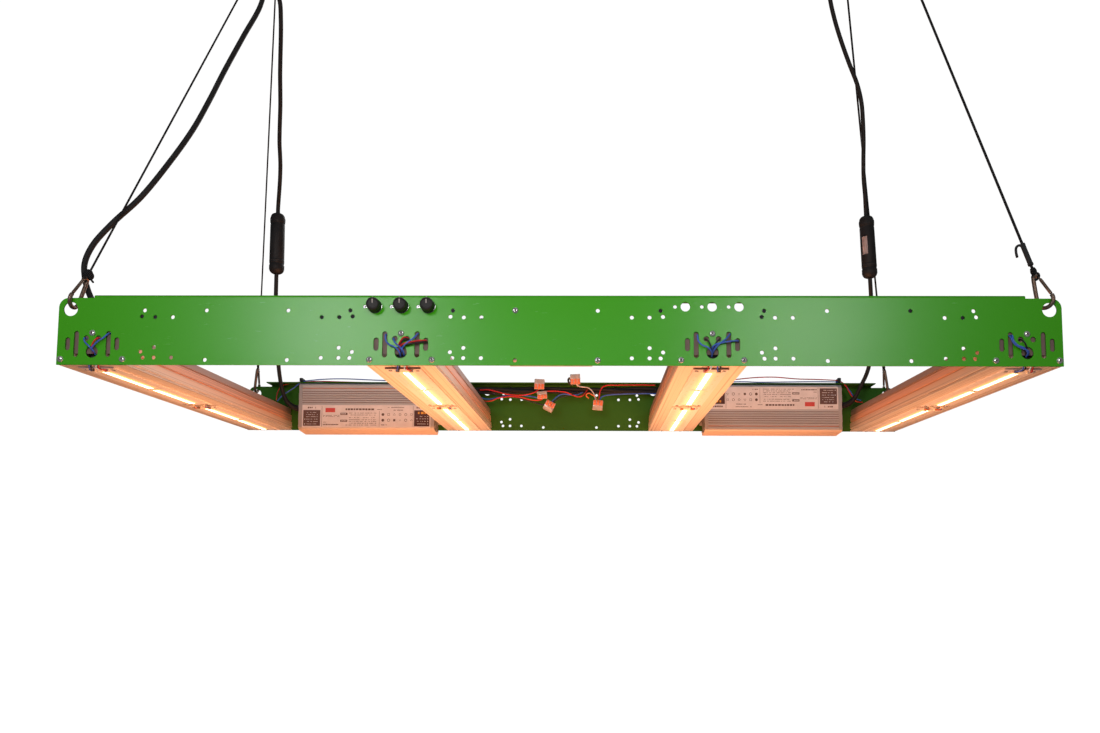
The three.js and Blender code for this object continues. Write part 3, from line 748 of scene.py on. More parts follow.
def coilEntry(name, below):
    c, r = coils[name], leadSize["radius"]
    return tuple(c["centre"] + c["side"] * (leadSize["coil"] + r) - c["out"] * r - c["up"] * below)


routes = {
    "lead_left_lower": [(-glandEnd, 275, 38), (-511, 275, 38.2), (-519.5, 274.2, 41), (-527.5, 272, 46.8),
        (-533, 269, 55.5), (-536.5, 265.5, 66.5), (-539, 261, 81), (-540.8, 257, 97), (-542, 252.5, 116),
        (-542.7, 247, 143), (-542.8, 240, 172), (-542.3, 232, 206), (-541, 225, 240),
        (-539.9, 221.3, 262), (-539.6, 220.2, 272), (-539.5, 220, 278.4)],
    "lead_left_upper": [(-540.5, 220, 393.6), (-540.6, 219.7, 399), (-538.5, 215, 413),
        (-534.3, 206, 432), (-529.8, 195.5, 452), (-526.2, 185, 471.3), (-524, 175.5, 487),
        (-522, 166, 502), (-518.8, 156, 519), (-515, 145.5, 536), (-510.5, 133, 555),
        (-506.5, 119.5, 577), (-503, 107, 597.5), (-498.5, 93.5, 621), (-493.6, 79.5, 646),
        (-489, 64.5, 671), (-487.3, 51.5, 697.5), coilEntry("left", 39), coilEntry("left", 27)],
    "lead_right_lower": [(glandEnd, 275, 46), (511, 275, 46.2), (519, 274.3, 49), (527, 272, 55.5),
        (533.5, 268.7, 65), (538.5, 264.8, 76.5), (544, 260.5, 89), (549.3, 256.8, 102),
        (553.5, 252.5, 119), (555.5, 246, 147), (554, 234, 180), (549.5, 220, 210), (545.2, 208, 236),
        (542.4, 200.8, 251), (541.5, 198.9, 258.5), (541.2, 198.6, 264.2)],
    "lead_right_upper": [(536.2, 197, 379), (536, 196.8, 384), (534.8, 194, 396), (532.2, 187.5, 414),
        (527.8, 179, 441), (525.1, 169.5, 471.5), (523.1, 159.5, 502), (519.8, 150, 533), (515, 141, 564),
        (505.7, 132.5, 592), (489.8, 123, 624.5), (473.6, 113.5, 661), (460.5, 105, 695.5),
        (451, 98, 732), (446, 90, 780), (443.5, 81, 830), (442, 71.5, 880), (441.3, 61, 925),
        (439.8, 49.5, 962), coilEntry("right", 39), coilEntry("right", 27)],
    "lead_aux": [(-66.6, -280, 60), (-71, -280, 60), (-88, -280, 59.6), (-120, -280.5, 58),
        (-160, -281, 56), (-200, -281, 55.5), (-240, -281, 55), (-290, -280.5, 54.5), (-340, -280, 54),
        (-390, -280, 54), (-440, -280, 54.5), (-490, -279.5, 55), (-530, -278.5, 57), (-556, -276.5, 62),
        (-574, -273, 71), (-588, -267, 84), (-600, -260.5, 100), (-609, -256, 120), (-612, -254, 142),
        (-606, -248.5, 168), (-588, -237, 202), (-561, -222.5, 242), (-536, -203.5, 296),
        (-515, -180.5, 356), (-503.5, -158, 411), (-494.5, -132.5, 470), (-480, -105, 540),
        (-467, -78, 606), (-467, -64, 650), (-473.5, -50, 686), coilEntry("aux", 39),
        coilEntry("aux", 27)],
}


def smoothStep(value, low, high):
    t = min(1.0, max(0.0, (value - low) / (high - low)))
    return t * t * (3 - 2 * t)


def coilLine(name):
    # four turns in a two by two stack; the last lifts over the others into the plug
    c, r, steps = coils[name], leadSize["radius"], 40
    line = [at(*coilEntry(name, below)) for below in (18, 9)]
    for i in range(leadSize["turns"] * steps + 1):
        t = i / steps
        radial = r - 2 * r * smoothStep(t, 0.8, 1.0) + 2 * r * smoothStep(t, 2.4, 2.6)
        radial -= r * smoothStep(t, 3.4, 4.0)
        height = -r + 2 * r * smoothStep(t, 1.6, 1.8) + 2.03 * r * smoothStep(t, 2.95, 3.4)
        height += 1.8 * max(0, (t - 3.86) / 0.14) ** 2
        radius = leadSize["coil"] + radial
        a = 2 * math.pi * t
        line.append(at(*(c["centre"] + (c["side"] * math.cos(a) + c["up"] * math.sin(a)) * radius
                         + c["out"] * height)))
    foot = c["centre"] + c["side"] * leadSize["coil"] + c["out"] * (coilHalf + 5.5) + c["up"] * 2
    line.append(at(*foot))
    return line


def makePlug(name):
    # a moulded three-pin plug, its cable end at the coil's last turn
    c = coils[name]
    foot = c["centre"] + c["side"] * leadSize["coil"] + c["out"] * (coilHalf + 5.5) + c["up"] * 2
    lean = math.radians(13)
    axis = c["up"] * math.cos(lean) + c["out"] * math.sin(lean)
    facing = c["out"] * math.cos(lean) - c["up"] * math.sin(lean)
    across = axis.cross(facing)
    pose = Matrix.Translation(at(*foot)) @ Matrix((across, axis, facing)).transposed().to_4x4()

    def local(x, y, z):
        return Vector((x, y, z)) / 1000
    bm = bmesh.new()
    profile = [(0, 0.2), (4.6, 0.2)]
    for k in range(6):
        low = 2 + k * 3.2
        grow = 4.6 + 2.2 * low / 22
        profile += [(grow, low), (grow, low + 1.6), (grow - 0.8, low + 1.8), (grow - 0.8, low + 3.0)]
    profile += [(7, 21.5), (0, 21.5)]
    turned(bm, profile, Matrix.Rotation(-math.pi / 2, 4, "X"), 24)
    made = bmesh.ops.create_cube(bm, size=1, matrix=Matrix.Translation(local(0, 38, 0))
                                 @ Matrix.Diagonal((0.0265, 0.0355, 0.0195, 1)))
    for v in made["verts"]:
        if v.co.y < 0.03:
            v.co.x *= 0.7
            v.co.z *= 0.8
    edges = {e for v in made["verts"] for e in v.link_edges}
    bmesh.ops.bevel(bm, geom=list(edges), offset=0.0028, affect="EDGES", segments=4, profile=0.5, material=-1)
    for k in range(4):
        bmesh.ops.create_cube(bm, size=1, matrix=Matrix.Translation(local(0, 30 + 4 * k, 0))
                              @ Matrix.Diagonal((0.0225 + 0.0012 * k, 0.0016, 0.0198, 1)))
    for x in (-6.35, 6.35):
        made = bmesh.ops.create_cube(bm, size=1, matrix=Matrix.Translation(local(x, 63.5, 1.8))
                                     @ Matrix.Diagonal((0.0015, 0.0165, 0.0063, 1)))
        for f in {f for v in made["verts"] for f in v.link_faces}:
            f.material_index = 1
    rod(bm, local(0, 55, -5.2), local(0, 74.6, -5.2), 2.35, 16, round=0.9, kind=1)
    bmesh.ops.transform(bm, verts=bm.verts, matrix=pose)
    piece = finishPiece("moulded plug " + name, bm, ["black", "nickel"])
    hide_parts("plug_" + name)
    return piece


def makeConnector(side, foot, head):
    # a round in-line connector: ribbed nuts at both ends, a smooth barrel and a small label
    bm = bmesh.new()
    length = (Vector(head) - Vector(foot)).length
    profile = [(0, 0), (5.2, 0), (7.4, 0.6), (10.4, 2.4), (12.4, 5.4), (13.2, 9), (13.3, 15.5), (12.8, 16.2),
               (12.4, 16.6), (12.4, 18.8), (12.9, 19.2), (13.1, 20), (13.1, 26), (12.95, 26.3), (13.1, 26.8),
               (13.0, 60), (12.8, 92), (12.3, 93), (12.3, 94.6), (13.0, 95.4), (13.2, 99), (13.0, 104.5),
               (12.0, 108.8), (10.2, 111.6), (7.6, 113.2), (5.2, length), (0, length)]
    pose = towards(at(*foot), at(*head))
    turned(bm, profile, pose, 48)
    for k in range(18):
        a = 2 * math.pi * k / 18
        for low, high in ((7.5, 15.2), (97.5, 104.5)):
            rod(bm, pose @ Vector((0.01305 * math.cos(a), 0.01305 * math.sin(a), low / 1000)),
                pose @ Vector((0.01305 * math.cos(a), 0.01305 * math.sin(a), high / 1000)), 0.32, 6)
    piece = finishPiece("connector barrel " + side, bm, "black", smooth=50)
    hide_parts("inline_connector_" + side)
    pieces = [piece]
    if side == "right":
        bm = bmesh.new()
        made = bmesh.ops.create_grid(bm, x_segments=8, y_segments=6, size=0.5)
        for v in made["verts"]:
            a = math.radians(188 + 44 * (v.co.x + 0.5))
            v.co = Vector((0.01316 * math.cos(a), 0.01316 * math.sin(a), 0.042 + 0.032 * (v.co.y + 0.5)))
        bmesh.ops.solidify(bm, geom=list(bm.faces), thickness=0.00022)
        bmesh.ops.transform(bm, verts=bm.verts, matrix=pose)
        pieces.append(finishPiece("connector label", bm, "silverLabel"))
    bm = bmesh.new()
    turned(bm, [(13.12, 0), (13.3, 0.2), (13.3, 1.2), (13.12, 1.4)],
           pose @ Matrix.Translation((0, 0, 0.0225)), 40)
    pieces.append(finishPiece("connector seal " + side, bm, "strap"))
    return pieces


def makeLeads():
    connectors = {"left": ((-539.5, 220, 279), (-540.5, 220, 393)),
                  "right": ((541.2, 198.6, 264.8), (536.2, 197, 378.4))}
    for name, points in routes.items():
        line = smoothRoute([at(*p) for p in points], 6)
        words = name.replace("lead_", "cable ")
        if name.endswith("lower"):
            side = name.split("_")[1]
            lead = cable(words, line, leadSize["drawn"], "jacket", 4)
            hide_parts(name)
            lengthOf(line)
            makeConnector(side, *connectors[side])
        else:
            coil = name.split("_")[1]
            line += coilLine(coil)
            lead = cable(words, line, leadSize["drawn"], "jacket", 4)
            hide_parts(name, "lead_coil_" + coil)
            lengthOf(line)
            makePlug(coil)
        print(words, round(lengthOf(line), 3), "m")


def makeStraps():
    # woven straps that hang the coils from the rings
    for side, low, high in (("left", -19.4, 19.4), ("right", -4.2, 19.4)):
        foot, up = ringFrame(side)
        out = Vector((up.z, 0, -up.x))
        pose = Matrix((out, up, out.cross(up))).transposed().to_4x4()
        pose = Matrix.Translation(at(*foot)) @ pose
        outer = roundedRect(low - 1.1, -4.8, high + 1.1, 17.2, 3.2)
        inner = roundedRect(low, -3.7, high, 16.1, 2.2)
        flatPlate("coil strap " + side, outer, [inner], 8, pose, "strap", edge=0.15)


makeLeads()
makeStraps()
print("leads, coils and plugs")

# rails: a punched plate and its folded top flange
railSize = {"half": 613.3, "top": 83.6, "fold": 570, "height": 87.5, "sheet": 2, "deep": 30, "corner": 12}


def railHoles():
    holes = []
    for side in (-1, 1):
        holes.append(ringOf(side * 598.7, 69.6, 8.8, 40))
        for step in (-1, 0, 1):
            x = side * 190 + step * 32.7
            holes.append(ringOf(x, 73, 5.8, 32))
            holes.append(ringOf(x - 12.6, 73, 2.25, 20))
    for x in barPlaces:
        holes.append(ringOf(x, 16.3, 7.5, 36))
        for side in (-1, 1):
            holes.append(ringOf(x + side * 7.5, 33, 3.4, 24))
            holes.append(slotOf(x + side * 19.8, 9.8, 42, 6))
            holes.append(slotOf(x + side * 30.4, 18, 34, 6))
            if abs(x + side * 60) < 570:
                spare = ((60, 16.5), (60, 60.5), (63, 9.1), (63, 68), (76.4, 9.2), (76.4, 21.8),
                         (76.4, 59.6), (98, 9.2), (98, 59.6))
                holes += [ringOf(x + side * off, z, 2.5, 20) for off, z in spare]
    for x in (-380, 0, 380):
        for side in (-1, 1):
            for z in (6.4, 68.1):
                holes.append(ringOf(x + side * 50.4, z, 2.5, 20))
    return holes


def railOutline():
    s = railSize
    c = s["corner"]
    right = [(s["half"], 0), (s["half"], s["top"] - c)]
    right += [(s["half"] - c + c * math.cos(a), s["top"] - c + c * math.sin(a))
              for a in (math.pi / 2 * i / 8 for i in range(1, 9))]
    right += [(s["fold"], s["top"]), (s["fold"], s["top"] + 1)]
    return right + [(-x, y) for x, y in reversed(right)]


def prism(bm, section, x0, x1, kind=0):
    # a (y, z) section in mm, run along X from x0 to x1
    ring = [bm.verts.new(at(x0, y, z)) for y, z in section]
    made = bmesh.ops.extrude_face_region(bm, geom=[bm.faces.new(ring)])
    ends = [v for v in made["geom"] if isinstance(v, bmesh.types.BMVert)]
    bmesh.ops.translate(bm, verts=ends, vec=Vector(((x1 - x0) / 1000, 0, 0)))
    for face in {f for v in ring + ends for f in v.link_faces}:
        face.material_index = kind
    return ring + ends


def arc(cx, cy, r, a0, a1, count=6):
    return [(cx + r * math.cos(math.radians(a0 + (a1 - a0) * i / count)),
             cy + r * math.sin(math.radians(a0 + (a1 - a0) * i / count))) for i in range(count + 1)]


def panHead(bm, place, facing, radius=4.0, height=2.3):
    # a pan-head screw whose recess floor is painted shade: place is its seat in frame metres
    pose = towards(place, place + facing)
    turned(bm, [(0, height - 1.0), (1.25, height - 1.0), (1.5, height), (2.6, height * 0.94),
                (radius - 0.5, height * 0.66), (radius, height * 0.25), (radius, 0)], pose, 20)
    turned(bm, [(0, height - 0.97), (1.27, height - 0.97)], pose, 12, kind=1)


def makeRails():
    front = Matrix.Translation(at(0, -299, 0)) @ Matrix(((1, 0, 0), (0, 0, -1), (0, 1, 0))).to_4x4()
    half = Matrix.Rotation(math.pi, 4, "Z")
    holes = railHoles()
    s = railSize
    for side, pose in (("front", Matrix()), ("back", half)):
        bm = flatPlate("rail sheet", railOutline(), holes, s["sheet"], pose @ front, None)
        fold = bmesh.new()
        y, z = -300, s["height"]
        section = [(y + 2, s["top"] + 0.7), (y, s["top"] + 0.7)] + arc(y + 3, z - 3, 3, 180, 90)
        section += [(y + s["deep"] - 0.3, z), (y + s["deep"], z - 0.3), (y + s["deep"], z - 1.7),
                    (y + s["deep"] - 0.3, z - 2)] + arc(y + 3, z - 3, 1, 90, 180, 4)
        prism(fold, section, -s["fold"], s["fold"])
        bmesh.ops.transform(fold, verts=fold.verts, matrix=pose)
        join(bm, fold)
        rail = finishPiece("punched rail " + side, bm, "green", smooth=30, flats=5)
        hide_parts(side + "_rail")
        bm = bmesh.new()
        facing = pose.to_3x3() @ Vector((0, -1, 0))
        places = [(x + dx, z) for x in barPlaces for dx, z in ((0, 39.5), (-38.2, 6.9), (38.2, 6.9))]
        if side == "front":
            places += [(-50.4, 68.1), (50.4, 6.4)]
        for x, z in places:
            panHead(bm, pose @ at(x, -300, z), facing)
        finishPiece("rail screws " + side, bm, ["zinc", "recess"], smooth=35)
    # guesses: dark plates of painted shade behind the slots, and plugs in the front's dark spare holes
    for i, x in enumerate(barPlaces):
        bm = bmesh.new()
        block(bm, (x - 37, -297.4, 14), (x + 37, -296.6, 44), 0.2, 1)
        finishPiece(f"bar end shade {i + 1}", bm, "endShade")
    bm = bmesh.new()
    for x, z in ((-510, 60.5), (-493.6, 59.6), (-288, 59.6), (-266.4, 59.6), (-253, 68), (-250, 60.5),
                 (-127, 68), (127, 68), (250, 60.5), (253, 68), (430.4, 68.1), (493.6, 59.6)):
        rod(bm, at(x, -298.1, z), at(x, -299.4, z), 2.45, 20, 2.3, 0.2)
    finishPiece("hole plugs", bm, "black")


# light bars: the frame's heat sinks, and boards with their chips, terminals and wires
def chip(bm, x, y):
    w, d, low, high = 1.9, 2.1, -3.0, -1.85
    top = [bm.verts.new(at(x + sx * w, y + sy * d, high)) for sx, sy in ((-1, -1), (1, -1), (1, 1), (-1, 1))]
    rim = [bm.verts.new(at(x + sx * w, y + sy * d, low)) for sx, sy in ((-1, -1), (1, -1), (1, 1), (-1, 1))]
    lens = [bm.verts.new(at(x + sx * w * 0.82, y + sy * d * 0.82, low + 0.06))
            for sx, sy in ((-1, -1), (1, -1), (1, 1), (-1, 1))]
    for i in range(4):
        j = (i + 1) % 4
        bm.faces.new((top[i], top[j], rim[j], rim[i]))
        bm.faces.new((rim[i], rim[j], lens[j], lens[i]))
    bm.faces.new(lens).material_index = 1


def makeBoards():
    size = {"half": 22, "long": 278, "gap": 8, "pitch": 5.2, "inset": 20, "row": 1.95}
    for i, x in enumerate(barPlaces):
        for end, low in (("front", -size["gap"] - size["long"]), ("back", size["gap"])):
            bm = bmesh.new()
            high, middle = low + size["long"], low + size["long"] / 2
            block(bm, (x - size["half"], low, -1.9), (x + size["half"], high, -0.3), 0.2, 1)
            count = int((size["long"] - 2 * size["inset"]) / size["pitch"])
            for k in range(count + 1):
                y = low + size["inset"] + k * (size["long"] - 2 * size["inset"]) / count
                if abs(y - middle) > 7:
                    for row in (-1, 1):
                        chip(bm, x + row * size["row"], y + row * 0.6)
            # copper lands along both edges, pads by the terminals
            for sx in (-1, 1):
                for k in range(10):
                    y = low + 16 + k * 27
                    block(bm, (x + sx * 14 - 0.8, y - 2, -1.95), (x + sx * 14 + 0.8, y + 2, -1.85), 0, kind=2)
            board = finishPiece(f"lamp board {i + 1} {end}", bm, ["board", "phosphor", "terminal"],
                                smooth=30)
            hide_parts(f"led_board_{i + 1}_{end}")
            bm = bmesh.new()
            down = Vector((0, 0, -1))
            panHead(bm, at(x, middle, -1.9), down, 2.7, 1.2)
            for sy in (low + 7.5, high - 7.5):
                panHead(bm, at(x + 17, sy, -1.9), down, 2.2, 1.0)
                panHead(bm, at(x - 17, sy, -1.9), down, 2.2, 1.0)
            finishPiece(f"board screws {i + 1} {end}", bm, ["zinc", "recess"], smooth=35)
        makeBarEnd(i, x)


def terminalPair(bm, x, y, way):
    # two push-in terminals, their mouths on the side that way gives; the mouths are dark patches of painted
    # shade
    for dx in (-9.5, 7.0):
        block(bm, (x + dx, y - 2.6, -5.2), (x + dx + 5.4, y + 2.6, -1.9), 0.35)
        for k in (0.35, 2.85):
            mouth = y + way * 2.2
            block(bm, (x + dx + k, mouth - 0.5, -4.7), (x + dx + k + 2.1, mouth + 0.5, -2.7), 0.1, kind=1)


def makeBarEnd(i, x):
    # terminals and their wires at the front end and in the gap between the two boards
    bm = bmesh.new()
    terminalPair(bm, x, -281.5, -1)
    terminalPair(bm, x, -13, 1)
    terminalPair(bm, x, 13, -1)
    finishPiece(f"board terminals {i + 1}", bm, ["terminal", "recess"])
    bm = bmesh.new()
    block(bm, (x - 22, -288.4, -2.2), (x + 22, -286.3, -0.4), 0.3)
    edge = "silverLabel" if i in (0, 3) else "boardEdge"
    finishPiece(f"board end strip {i + 1}", bm, edge)
    tails = {"blue": (-8.0, -4.5, 5), "dark": (-5.6, -2.0, 8), "white": (8.3, 4.0, 4), "red": (10.6, 7.0, 7)}
    if i == 2:
        tails = {"blue": (8.3, 6.0, 6), "dark": (10.6, 9.5, 8), "white": (-5.6, -2.0, 4),
                 "red": (-8.0, -5.0, 6)}
    for kind, (dx, drift, bow) in tails.items():
        route = [(x + dx, -283.6, -3.7), (x + dx, -286.5, -3.9),
                 (x + dx + 0.4 * (drift - dx), -290 - bow / 4, -4.4),
                 (x + drift, -295, -3.4), (x + drift + 0.5, -296.8, -1.6), (x + drift + 0.5, -297, 0.4)]
        cable(f"board wire {i + 1} {kind}", smoothRoute([at(*p) for p in route], 6), 0.75, kind, 3)
    for k, (dx, kind) in enumerate(((-8.1, "lever"), (-5.6, "boardEdge"), (8.4, "lever"), (10.9, "blue"))):
        bow = (1.5, -2.2, 2.4, 0.8)[k]
        route = [(x + dx, -11.2, -3.7), (x + dx, -7, -4.0), (x + dx + bow, -2.5, -5.4),
                 (x + dx + bow, 2.5, -5.4), (x + dx, 7, -4.0), (x + dx, 11.2, -3.7)]
        cable(f"link wire {i + 1} {k + 1}", smoothRoute([at(*p) for p in route], 6), 0.75, kind, 3)


# drivers: built as the left one stands; the right one is the same, turned over
driverPlace = {"x": -376, "z": 38.1, "half": 120, "face": 253.9}


def driverSection(ribbed):
    y = driverPlace["face"]
    points = [(297.7, -8.7), (297.7, 84.9), (258.4, 82.0), (256.0, 81.1), (254.4, 79.5), (y, 77.8)]
    if ribbed:
        points += [(y, 73.4), (y + 1.7, 73.1), (y + 1.7, 71.7), (y, 71.4)]
        for k in range(6):
            z = 66.6 - 4.2 * k
            points += [(y, z + 0.75), (y + 1.2, z + 0.4), (y + 1.2, z - 0.4), (y, z - 0.75)]
    return points + [(y, 1.4), (254.4, -0.6), (255.6, -2.2), (257.4, -4.0), (262, -5.6)]


def patch(bm, low, high, kind=0, proud=0.12, lift=0.0):
    # a thin printed patch on the driver's label: corners are (mm from the housing's left end, z)
    x0 = driverPlace["x"] - driverPlace["half"]
    y = driverPlace["face"] - 0.45 - lift
    block(bm, (x0 + low[0], y - proud, low[1]), (x0 + high[0], y, high[1]), 0, kind=kind)


def printedLine(bm, x0, x1, z, tall, rng, kind=0, gapShare=0.25, lift=0.12):
    # a row of small bars that reads as a line of print without being any
    x = x0
    while x < x1:
        wide = rng.uniform(0.6, 1.6) * tall
        if rng.random() > gapShare:
            low = z - tall / 2 * rng.uniform(0.7, 1)
            patch(bm, (x, low), (min(x + wide, x1), z + tall / 2), kind, 0.08, lift)
        x += wide + tall * 0.35


def makeLabel():
    rng = random.Random(7)
    bm = bmesh.new()
    patch(bm, (0.8, -1.0), (239.2, 41.0), 0, 0.12, -0.45)
    patch(bm, (2.0, 0.3), (238.2, 39.8), 0, 0.12, -0.33)
    lift = -0.21
    patch(bm, (3.0, 2.0), (34.5, 31.5), 1, 0.12, lift)  # left panel
    printedLine(bm, 11, 26, 36, 3.0, rng, 1, 0.1, lift)
    for z in (27, 23, 19, 14.5, 10, 5.5):
        printedLine(bm, 8.5, 30, z, 1.0, rng, 0, 0.3, lift + 0.12)
    for z in (14.5, 5.5):
        patch(bm, (5.2, z - 0.8), (6.8, z + 0.8), 0, 0.08, lift + 0.12)
    patch(bm, (37.2, 0.8), (37.8, 39.5), 1, 0.05, lift)
    patch(bm, (44, 27.5), (62, 35.5), 2, 0.12, lift)  # a plain red patch
    for z in (21.5, 19.5):
        printedLine(bm, 40, 70, z, 0.9, rng, 1, 0.2, lift)
    printedLine(bm, 40, 46, 9, 1.0, rng, 1, 0.2, lift)
    printedLine(bm, 40, 69, 4.5, 2.2, rng, 1, 0.05, lift)
    printedLine(bm, 78, 138, 33, 3.4, rng, 1, 0.08, lift)
    printedLine(bm, 140, 149, 32.6, 1.3, rng, 1, 0.1, lift)
    for z in (24.5, 11.5):
        patch(bm, (72, z - 2), (85, z + 2), 1, 0.12, lift)
        printedLine(bm, 73.5, 83.5, z, 1.8, rng, 0, 0.1, lift + 0.12)
    for z in (26, 22.4, 17.5, 13.5, 10.3, 7, 3.6):
        printedLine(bm, 88 if z > 5 else 82, 139, z, 1.1, rng, 1, 0.25, lift)
    patch(bm, (144.2, 1.2), (144.7, 30), 1, 0.05, lift)
    printedLine(bm, 160, 190, 36.6, 1.3, rng, 1, 0.15, lift)
    printedLine(bm, 168, 188, 31.6, 1.6, rng, 1, 0.1, lift)
    for row, z in enumerate((23.5, 12.8)):
        for k in range(6):
            markShape(bm, 151 + k * 10.6, z, row * 6 + k, lift)
    printedLine(bm, 148, 158, 4.0, 1.8, rng, 1, 0.1, lift)
    patch(bm, (206.8, 0.8), (207.3, 39.5), 1, 0.05, lift)
    patch(bm, (209, 1.6), (237.5, 31.5), 3, 0.12, lift)  # right panel
    printedLine(bm, 213, 232, 36, 3.0, rng, 1, 0.1, lift)
    for k, (a, b) in enumerate(((216, 219), (221.5, 226.5), (228, 231))):
        patch(bm, (a, 24.5), (b, 28.5), 4, 0.08, lift + 0.12)
    for z in (20, 15.5, 10.8, 6):
        printedLine(bm, 213, 231, z, 1.1, rng, 0, 0.3, lift + 0.12)
        patch(bm, (233.4, z - 0.9), (235.2, z + 0.9), 0, 0.08, lift + 0.12)
    return bm


def markShape(bm, x, z, kind, lift):
    # plain rings, squares and triangles where a rating plate has its marks
    x0 = driverPlace["x"] - driverPlace["half"]
    y = driverPlace["face"] - 0.5 - lift
    sides = (20, 4, 3, 20, 6, 4, 20, 6, 4, 3, 20, 3)[kind]
    radius = (2.6, 3.0, 2.9, 2.2, 2.7, 2.6)[kind % 6]
    hollow = kind not in (0, 6, 8)
    matrix = Matrix.Translation(at(x0 + x, y, z)) @ Matrix.Rotation(math.pi / 2, 4, "X")
    matrix = matrix @ Matrix.Rotation(math.pi / 2 + (math.pi / 4 if sides == 4 else 0), 4, "Z")
    inner = radius * (0.72 if hollow else 0.0)
    turned(bm, [(inner, 0), (inner, 0.12), (radius, 0.12), (radius, 0)] if inner else
           [(0, 0.12), (radius, 0.12), (radius, 0)], matrix, sides, kind=1)


def capParts(bm, way):
    # one end cap on the side that way gives, with its foot and screws
    x = driverPlace["x"] + way * driverPlace["half"]
    prism(bm, driverSection(False), x + way * 0.15, x + way * 6)
    middle = driverPlace["z"]
    low, high = sorted((x + way * 1, x + way * 11))
    block(bm, (low, 294.7, middle - 28), (high, 297.7, middle + 28), 0.8)
    outward = Vector((way, 0, 0))
    for y, z in ((259.5, 74.5), (259.5, 3.0), (291.5, 79.0), (291.5, -3.0), (259.5, 39.0)):
        panHead(bm, at(x + way * 6, y, z), outward, 2.6, 1.5)
    for z in (middle - 20, middle + 20):
        panHead(bm, at(x + way * 8.4, 294.7, z), Vector((0, -1, 0)), 2.4, 1.4)
    for z in (20.5, 57.5):
        low, high = sorted((x + way * 5.8, x + way * 7.2))
        block(bm, (low, 256, z - 7), (high, 262, z + 7), 0.5)


def gland(bm, x, z, way, radius):
    # a ribbed gland nut at a cable's exit
    pose = towards(at(x, 275, z), at(x + way, 275, z))
    turned(bm, [(0, 0), (radius, 0), (radius, 1.2), (radius - 0.5, 1.5), (radius - 0.5, 2.4), (radius, 2.7),
                (radius, 4.6), (radius - 0.9, 5.0), (0, 5.0)], pose, 24, kind=2)
    for k in range(12):
        a = 2 * math.pi * k / 12
        spot = Vector((0, math.cos(a), math.sin(a))) * (radius / 1000)
        rod(bm, at(x + way * 2.8, 275, z) + spot, at(x + way * 4.5, 275, z) + spot, 0.5, 6, kind=2)


def makeDrivers():
    centre = driverPlace["x"], driverPlace["z"]
    turnOver = (Matrix.Translation(at(-centre[0], 0, centre[1])) @ Matrix.Rotation(math.pi, 4, "Y")
                @ Matrix.Translation(-at(centre[0], 0, centre[1])))
    for side, pose, inputZ in (("left", Matrix(), 38), ("right", turnOver, 46)):
        x0, x1 = centre[0] - driverPlace["half"], centre[0] + driverPlace["half"]
        bm = bmesh.new()
        prism(bm, driverSection(True), x0, x1)
        # a painted shadow line in the top groove
        prism(bm, [(254.7, 71.6), (254.7, 73.2), (255.8, 73.2), (255.8, 71.6)], x0 + 0.3, x1 - 0.3, kind=1)
        # painted shade: dark strips in the six grooves
        for k in range(6):
            z = 66.6 - 4.2 * k
            prism(bm, [(254.5, z - 0.5), (254.5, z + 0.5), (255.6, z + 0.5), (255.6, z - 0.5)],
                  x0 + 0.3, x1 - 0.3, kind=2)
        bmesh.ops.transform(bm, verts=bm.verts, matrix=pose)
        body = finishPiece("driver case " + side, bm, ["housing", "rib", "endShade"],
                           smooth=30, flats=9)
        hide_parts(f"driver_{side}_housing")
        bm = makeLabel()
        bmesh.ops.transform(bm, verts=bm.verts, matrix=pose)
        finishPiece("driver label " + side, bm, ["label", "ink", "inkRed", "inkBrown", "inkYellow"],
                    smooth=20)
        for way, end in ((-1, "input"), (1, "output")):
            bm = bmesh.new()
            capParts(bm, way)
            z, radius = (inputZ, 6.5) if end == "input" else (58, 7.5)
            if side == "right":
                z = 2 * centre[1] - z
            gland(bm, centre[0] + way * (driverPlace["half"] + 6), z, way, radius)
            bmesh.ops.transform(bm, verts=bm.verts, matrix=pose)
            cap = finishPiece(f"driver cap {side} {end}", bm, ["cap", "recess", "black"],
                              smooth=30)
            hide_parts(f"driver_{side}_{end}_cap")


def tapered(bm, line, start, end, sides=20, grooves=0, kind=0):
    # a sleeve along a line, thinning from one radius to the other, with a few grooves
    rings = []
    total = len(line) - 1
    for i, place in enumerate(line):
        way = line[min(i + 1, total)] - line[max(i - 1, 0)]
        turn = way.to_track_quat("Z", "X").to_matrix().to_4x4()
        radius = start + (end - start) * i / total
        if grooves and 0 < i < total and i % grooves == 0:
            radius -= 0.55
        spot = Matrix.Translation(place) @ turn
        rings.append([bm.verts.new(spot @ Vector((radius / 1000 * math.cos(2 * math.pi * k / sides),
                                                  radius / 1000 * math.sin(2 * math.pi * k / sides), 0)))
                      for k in range(sides)])
    for a, b in zip(rings, rings[1:]):
        for k in range(sides):
            m = (k + 1) % sides
            bm.faces.new((a[k], a[m], b[m], b[k])).material_index = kind
    bm.faces.new(rings[0]).material_index = kind
    bm.faces.new(rings[-1]).material_index = kind


def firstPart(points, reach, step=0.0006):
    # the first stretch of a route, resampled evenly, in frame metres
    line = smoothRoute([at(*p) for p in points], 24)
    out, gone, want = [line[0]], 0.0, step
    for a, b in zip(line, line[1:]):
        piece = (b - a).length
        while gone + piece >= want and want <= reach:
            out.append(a.lerp(b, (want - gone) / piece))
            want += step
        gone += piece
    return out


def makeReliefs():
    for name, points in routes.items():
        if name.endswith("upper"):
            continue
        bm = bmesh.new()
        tapered(bm, firstPart(points, 0.034), 5.9, 4.05, grooves=4)
        finishPiece("strain relief " + name.replace("lead_", "").replace("_lower", ""), bm, "black",
                    smooth=50)


